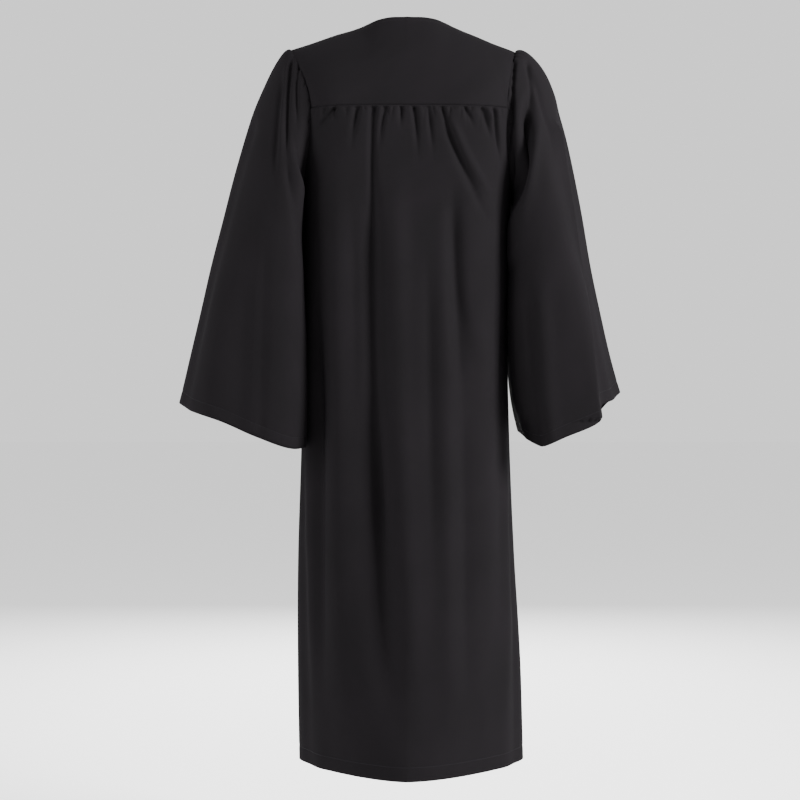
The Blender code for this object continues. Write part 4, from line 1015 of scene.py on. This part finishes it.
def buildTape(side):  # a woven strip behind the front's edge, and the coil as one long flattened helix
    sign = 1 if side == "left" else -1
    z = np.linspace(zipFront["tapeTop"], bodyForm["zipEndZ"] + 0.006, 260)
    points, normals = zipLine(z)
    x = np.linspace(zipFront["tapeInner"], zipFront["tapeOuter"], 9)
    deep = zipFront["tapeDeep"] + 0.0003 * (x / zipFront["tapeOuter"]) ** 2 + 0.00012 * np.sin(x * 1800)
    grid = points[:, None] + x[None, :, None] * np.array([sign, 0, 0]) - deep[None, :, None] * normals[:, None]
    half = zipFront["tapeThick"] / 2
    vertices, faces, uv = shellOf(grid, np.broadcast_to(normals[:, None], grid.shape), half, half)
    tape = makePiece(side + "ZipTape", vertices, faces, finishes["tape"], uv, slot="tape")
    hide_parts("zip_tape_" + side)
    around = np.linspace(0, zipFront["edgeTurns"], zipFront["edgeTurns"] * 9 + 1)
    points, normals = zipLine(z[0] - 0.001 + (z[-1] - z[0] + 0.002) * around / zipFront["edgeTurns"])
    turn = 2 * np.pi * (around + (0 if side == "left" else 0.5))
    out = zipFront["coilMiddle"] + zipFront["coilReach"] * np.cos(turn)
    rise = zipFront["coilHigh"] * np.sin(turn) - 0.0002
    path = points + out[:, None] * np.array([sign, 0, 0]) + rise[:, None] * normals
    coil = makePiece(side + "ZipCoil", *wireTube(path, normals, zipFront["wire"], 5), finishes["coil"], slot="tape")
    print(side, "zip tape made")


def wireTube(path, up, radius, sides):  # a round wire swept along a path, closed at both ends
    ahead = unit(np.gradient(path, axis=0))
    across = unit(np.cross(ahead, up))
    over = np.cross(across, ahead)
    a = np.arange(sides) * 2 * np.pi / sides
    ring = path[:, None] + radius * (np.cos(a)[None, :, None] * across[:, None] + np.sin(a)[None, :, None] * over[:, None])
    number = np.arange(len(path) * sides).reshape(len(path), sides)
    beside = np.roll(number, -1, axis=1)
    quads = np.stack([number[:-1], beside[:-1], beside[1:], number[1:]], -1).reshape(-1, 4).tolist()
    return ring.reshape(-1, 3), quads + [number[0][::-1].tolist(), number[-1].tolist()]


def softOutline(edges, count=96, sharp=16):  # a polygon with rounded corners, by a power mean of its edges' distances
    a = np.arange(count) * 2 * np.pi / count
    ray = np.stack([np.cos(a), np.sin(a)], -1)
    turns = ((np.radians(degrees), distance) for degrees, distance in edges)
    near = sum(np.maximum(ray @ (np.cos(t), np.sin(t)) / d, 0) ** sharp for t, d in turns)
    return ray * near[:, None] ** (-1 / sharp)


def loft(rings, closed):  # faces between rings of one count, closed round like a link or capped at both ends
    rings = np.asarray(rings)
    levels, count = rings.shape[:2]
    number = np.arange(levels * count).reshape(levels, count)
    after = np.roll(number, -1, axis=0) if closed else number[1:]
    first = number if closed else number[:-1]
    quads = np.stack([first, np.roll(first, -1, axis=1), np.roll(after, -1, axis=1), after], -1).reshape(-1, 4).tolist()
    if not closed:
        quads += [number[0][::-1].tolist(), number[-1].tolist()]
    return rings.reshape(-1, 3), quads


def pressed(outline, low, high, edge, middle=(0, 0), hole=None):
    # A plate between two heights with its edges rounded by three steps, solid or round a hole
    def ring(shape, grow, height):
        size = np.linalg.norm(shape, axis=1, keepdims=True)
        flat = shape * (1 + grow / size) + middle
        return np.concatenate([flat, np.full((len(flat), 1), height)], axis=1)

    steps = ((-1.0, 0.0), (-0.3, 0.3), (0.0, 1.0))
    outer = [ring(outline, edge * g, low + edge * h) for g, h in steps]
    outer += [ring(outline, edge * g, high - edge * h) for g, h in steps[::-1]]
    if hole is None:
        return loft(outer, False)
    inner = [ring(hole, -edge * g, high - edge * h) for g, h in steps]
    inner += [ring(hole, -edge * g, low + edge * h) for g, h in steps[::-1]]
    return loft(outer + inner, True)


def zipPlace():  # the pin's place and the three directions of the slider, from the joint that the frame states
    pin = np.array(next(j for j in frame["record"]["behaviour"]["joints"] if j["name"] == "pull_swing")["pos_m"], float)
    _, outward = zipLine(np.array([pin[2]]))
    out = unit(outward[0] * (0, 1, 1))
    across = np.array([1.0, 0, 0])
    return pin, across, np.cross(out, across), out


def placed(shape, origin, across, up, out):  # vertices from the slider's own frame into the gown's
    vertices, faces = shape
    v = np.asarray(vertices)
    return origin + v[:, :1] * across + v[:, 1:2] * up + v[:, 2:] * out, faces


def buildSlider():
    pin, across, up, out = zipPlace()
    middle = pin - up * zipFront["pinUp"] - out * zipFront["pinHigh"]
    sides = ((0, 0.0043), (180, 0.0043), (90, 0.0055), (270, 0.0055))
    corners = ((315, 0.0062), (225, 0.0062), (45, 0.0066), (135, 0.0066))
    shield = softOutline(sides + corners)
    bar = softOutline(((0, 0.0025), (180, 0.0025), (90, 0.0011), (270, 0.0011)))
    arch = np.linspace(0, np.pi, 17)
    archPath = np.stack([0 * arch, 0.0034 * np.cos(arch) + 0.0001, 0.0024 + 0.0036 * np.sin(arch) ** 0.7], -1)
    parts = (
        ("sliderFace", pressed(shield, 0.0013, 0.0026, 0.0003)),
        ("sliderBack", pressed(shield * 0.97, -0.0033, -0.0023, 0.0003)),
        ("sliderBridge", pressed(bar, -0.0032, 0.0025, 0.0002, middle=(0, 0.0043))),
        ("sliderArch", wireTube(archPath, np.tile([1.0, 0, 0], (17, 1)), 0.0006, 10)),
    )
    for name, shape in parts:
        made = makePiece(name, *placed(shape, middle, across, up, out), finishes["metal"], slot="metal")
        facesOutwards(made)
        if name == "sliderFace":
            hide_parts("zip_slider")
    tabEdges = ((0, 0.0032), (180, 0.0032), (90, 0.0030), (270, 0.0205), (278, 0.0200), (262, 0.0200))
    tab = softOutline(tabEdges, sharp=24)
    eye = softOutline(((0, 0.0016), (180, 0.0016), (90, 0.0021), (270, 0.0026)))
    shape = pressed(tab, -0.00065, 0.00065, 0.0002, middle=(0, -0.0031), hole=eye)
    made = makePiece("pullTab", *placed(shape, pin, across, up, out), finishes["metal"], body="pull", slot="metal")
    facesOutwards(made)
    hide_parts("zip_pull")
    print("slider and pull made")


def facesOutwards(made):  # turns every face of a closed piece outwards
    work = bmesh.new()
    work.from_mesh(made.data)
    bmesh.ops.recalc_face_normals(work, faces=work.faces)
    work.to_mesh(made.data)
    work.free()


for side in ("left", "right"):
    buildTape(side)
buildSlider()

# Floor, light and camera
studio = {
    "floorZ": -1.42,
    "floorHalf": 30.0,
    "floorColour": "#fbfbfb",
    "world": 1.15,
    "cameraPlace": (0.0115, 2.8, -0.61),
    "lens": 76.36,
    "lights": (
        ("keyLight", (-2.1, 1.2, 0.5), (0.0, 0.0, -0.4), 0.8, 215.0),
        ("fillLight", (2.1, 0.7, 0.3), (0.1, 0.0, -0.4), 0.9, 70.0),
        ("frontLight", (0.0, -3.0, 0.7), (0.0, 0.0, -0.6), 1.0, 200.0),
    ),
}


def buildStudio():
    half, z = studio["floorHalf"], studio["floorZ"]
    mesh = bpy.data.meshes.new("floor")
    mesh.from_pydata([(-half, -half, z), (half, -half, z), (half, half, z), (-half, half, z)], [], [(0, 1, 2, 3)])
    made, tree, shader = newMaterial("paleStudioFloor", Roughness=0.9)
    shader.inputs["Base Color"].default_value = linear(studio["floorColour"])
    mesh.materials.append(made)
    floor = bpy.data.objects.new("floor", mesh)
    bpy.context.scene.collection.objects.link(floor)
    world = bpy.data.worlds.new("paleStudio")
    world.use_nodes = True
    back = world.node_tree.nodes["Background"]
    back.inputs["Color"].default_value = linear("#ffffff")
    back.inputs["Strength"].default_value = studio["world"]
    bpy.context.scene.world = world
    for name, place, aim, size, power in studio["lights"]:
        lamp = bpy.data.lights.new(name, "AREA")
        lamp.size = size
        lamp.energy = power
        lit = bpy.data.objects.new(name, lamp)
        lit.location = place
        away = np.array(place) - np.array(aim)
        flat = np.hypot(away[0], away[1])
        lit.rotation_euler = (np.arctan2(flat, away[2]), 0, np.arctan2(away[0], -away[1]))
        bpy.context.scene.collection.objects.link(lit)
    lens = bpy.data.cameras.new("photoCamera")
    lens.lens = studio["lens"]
    lens.sensor_width = 36.0
    eye = bpy.data.objects.new("photoCamera", lens)
    eye.location = studio["cameraPlace"]
    eye.rotation_euler = (np.pi / 2, 0, np.pi)
    bpy.context.scene.collection.objects.link(eye)
    bpy.context.scene.camera = eye
    print("studio made")


buildStudio()
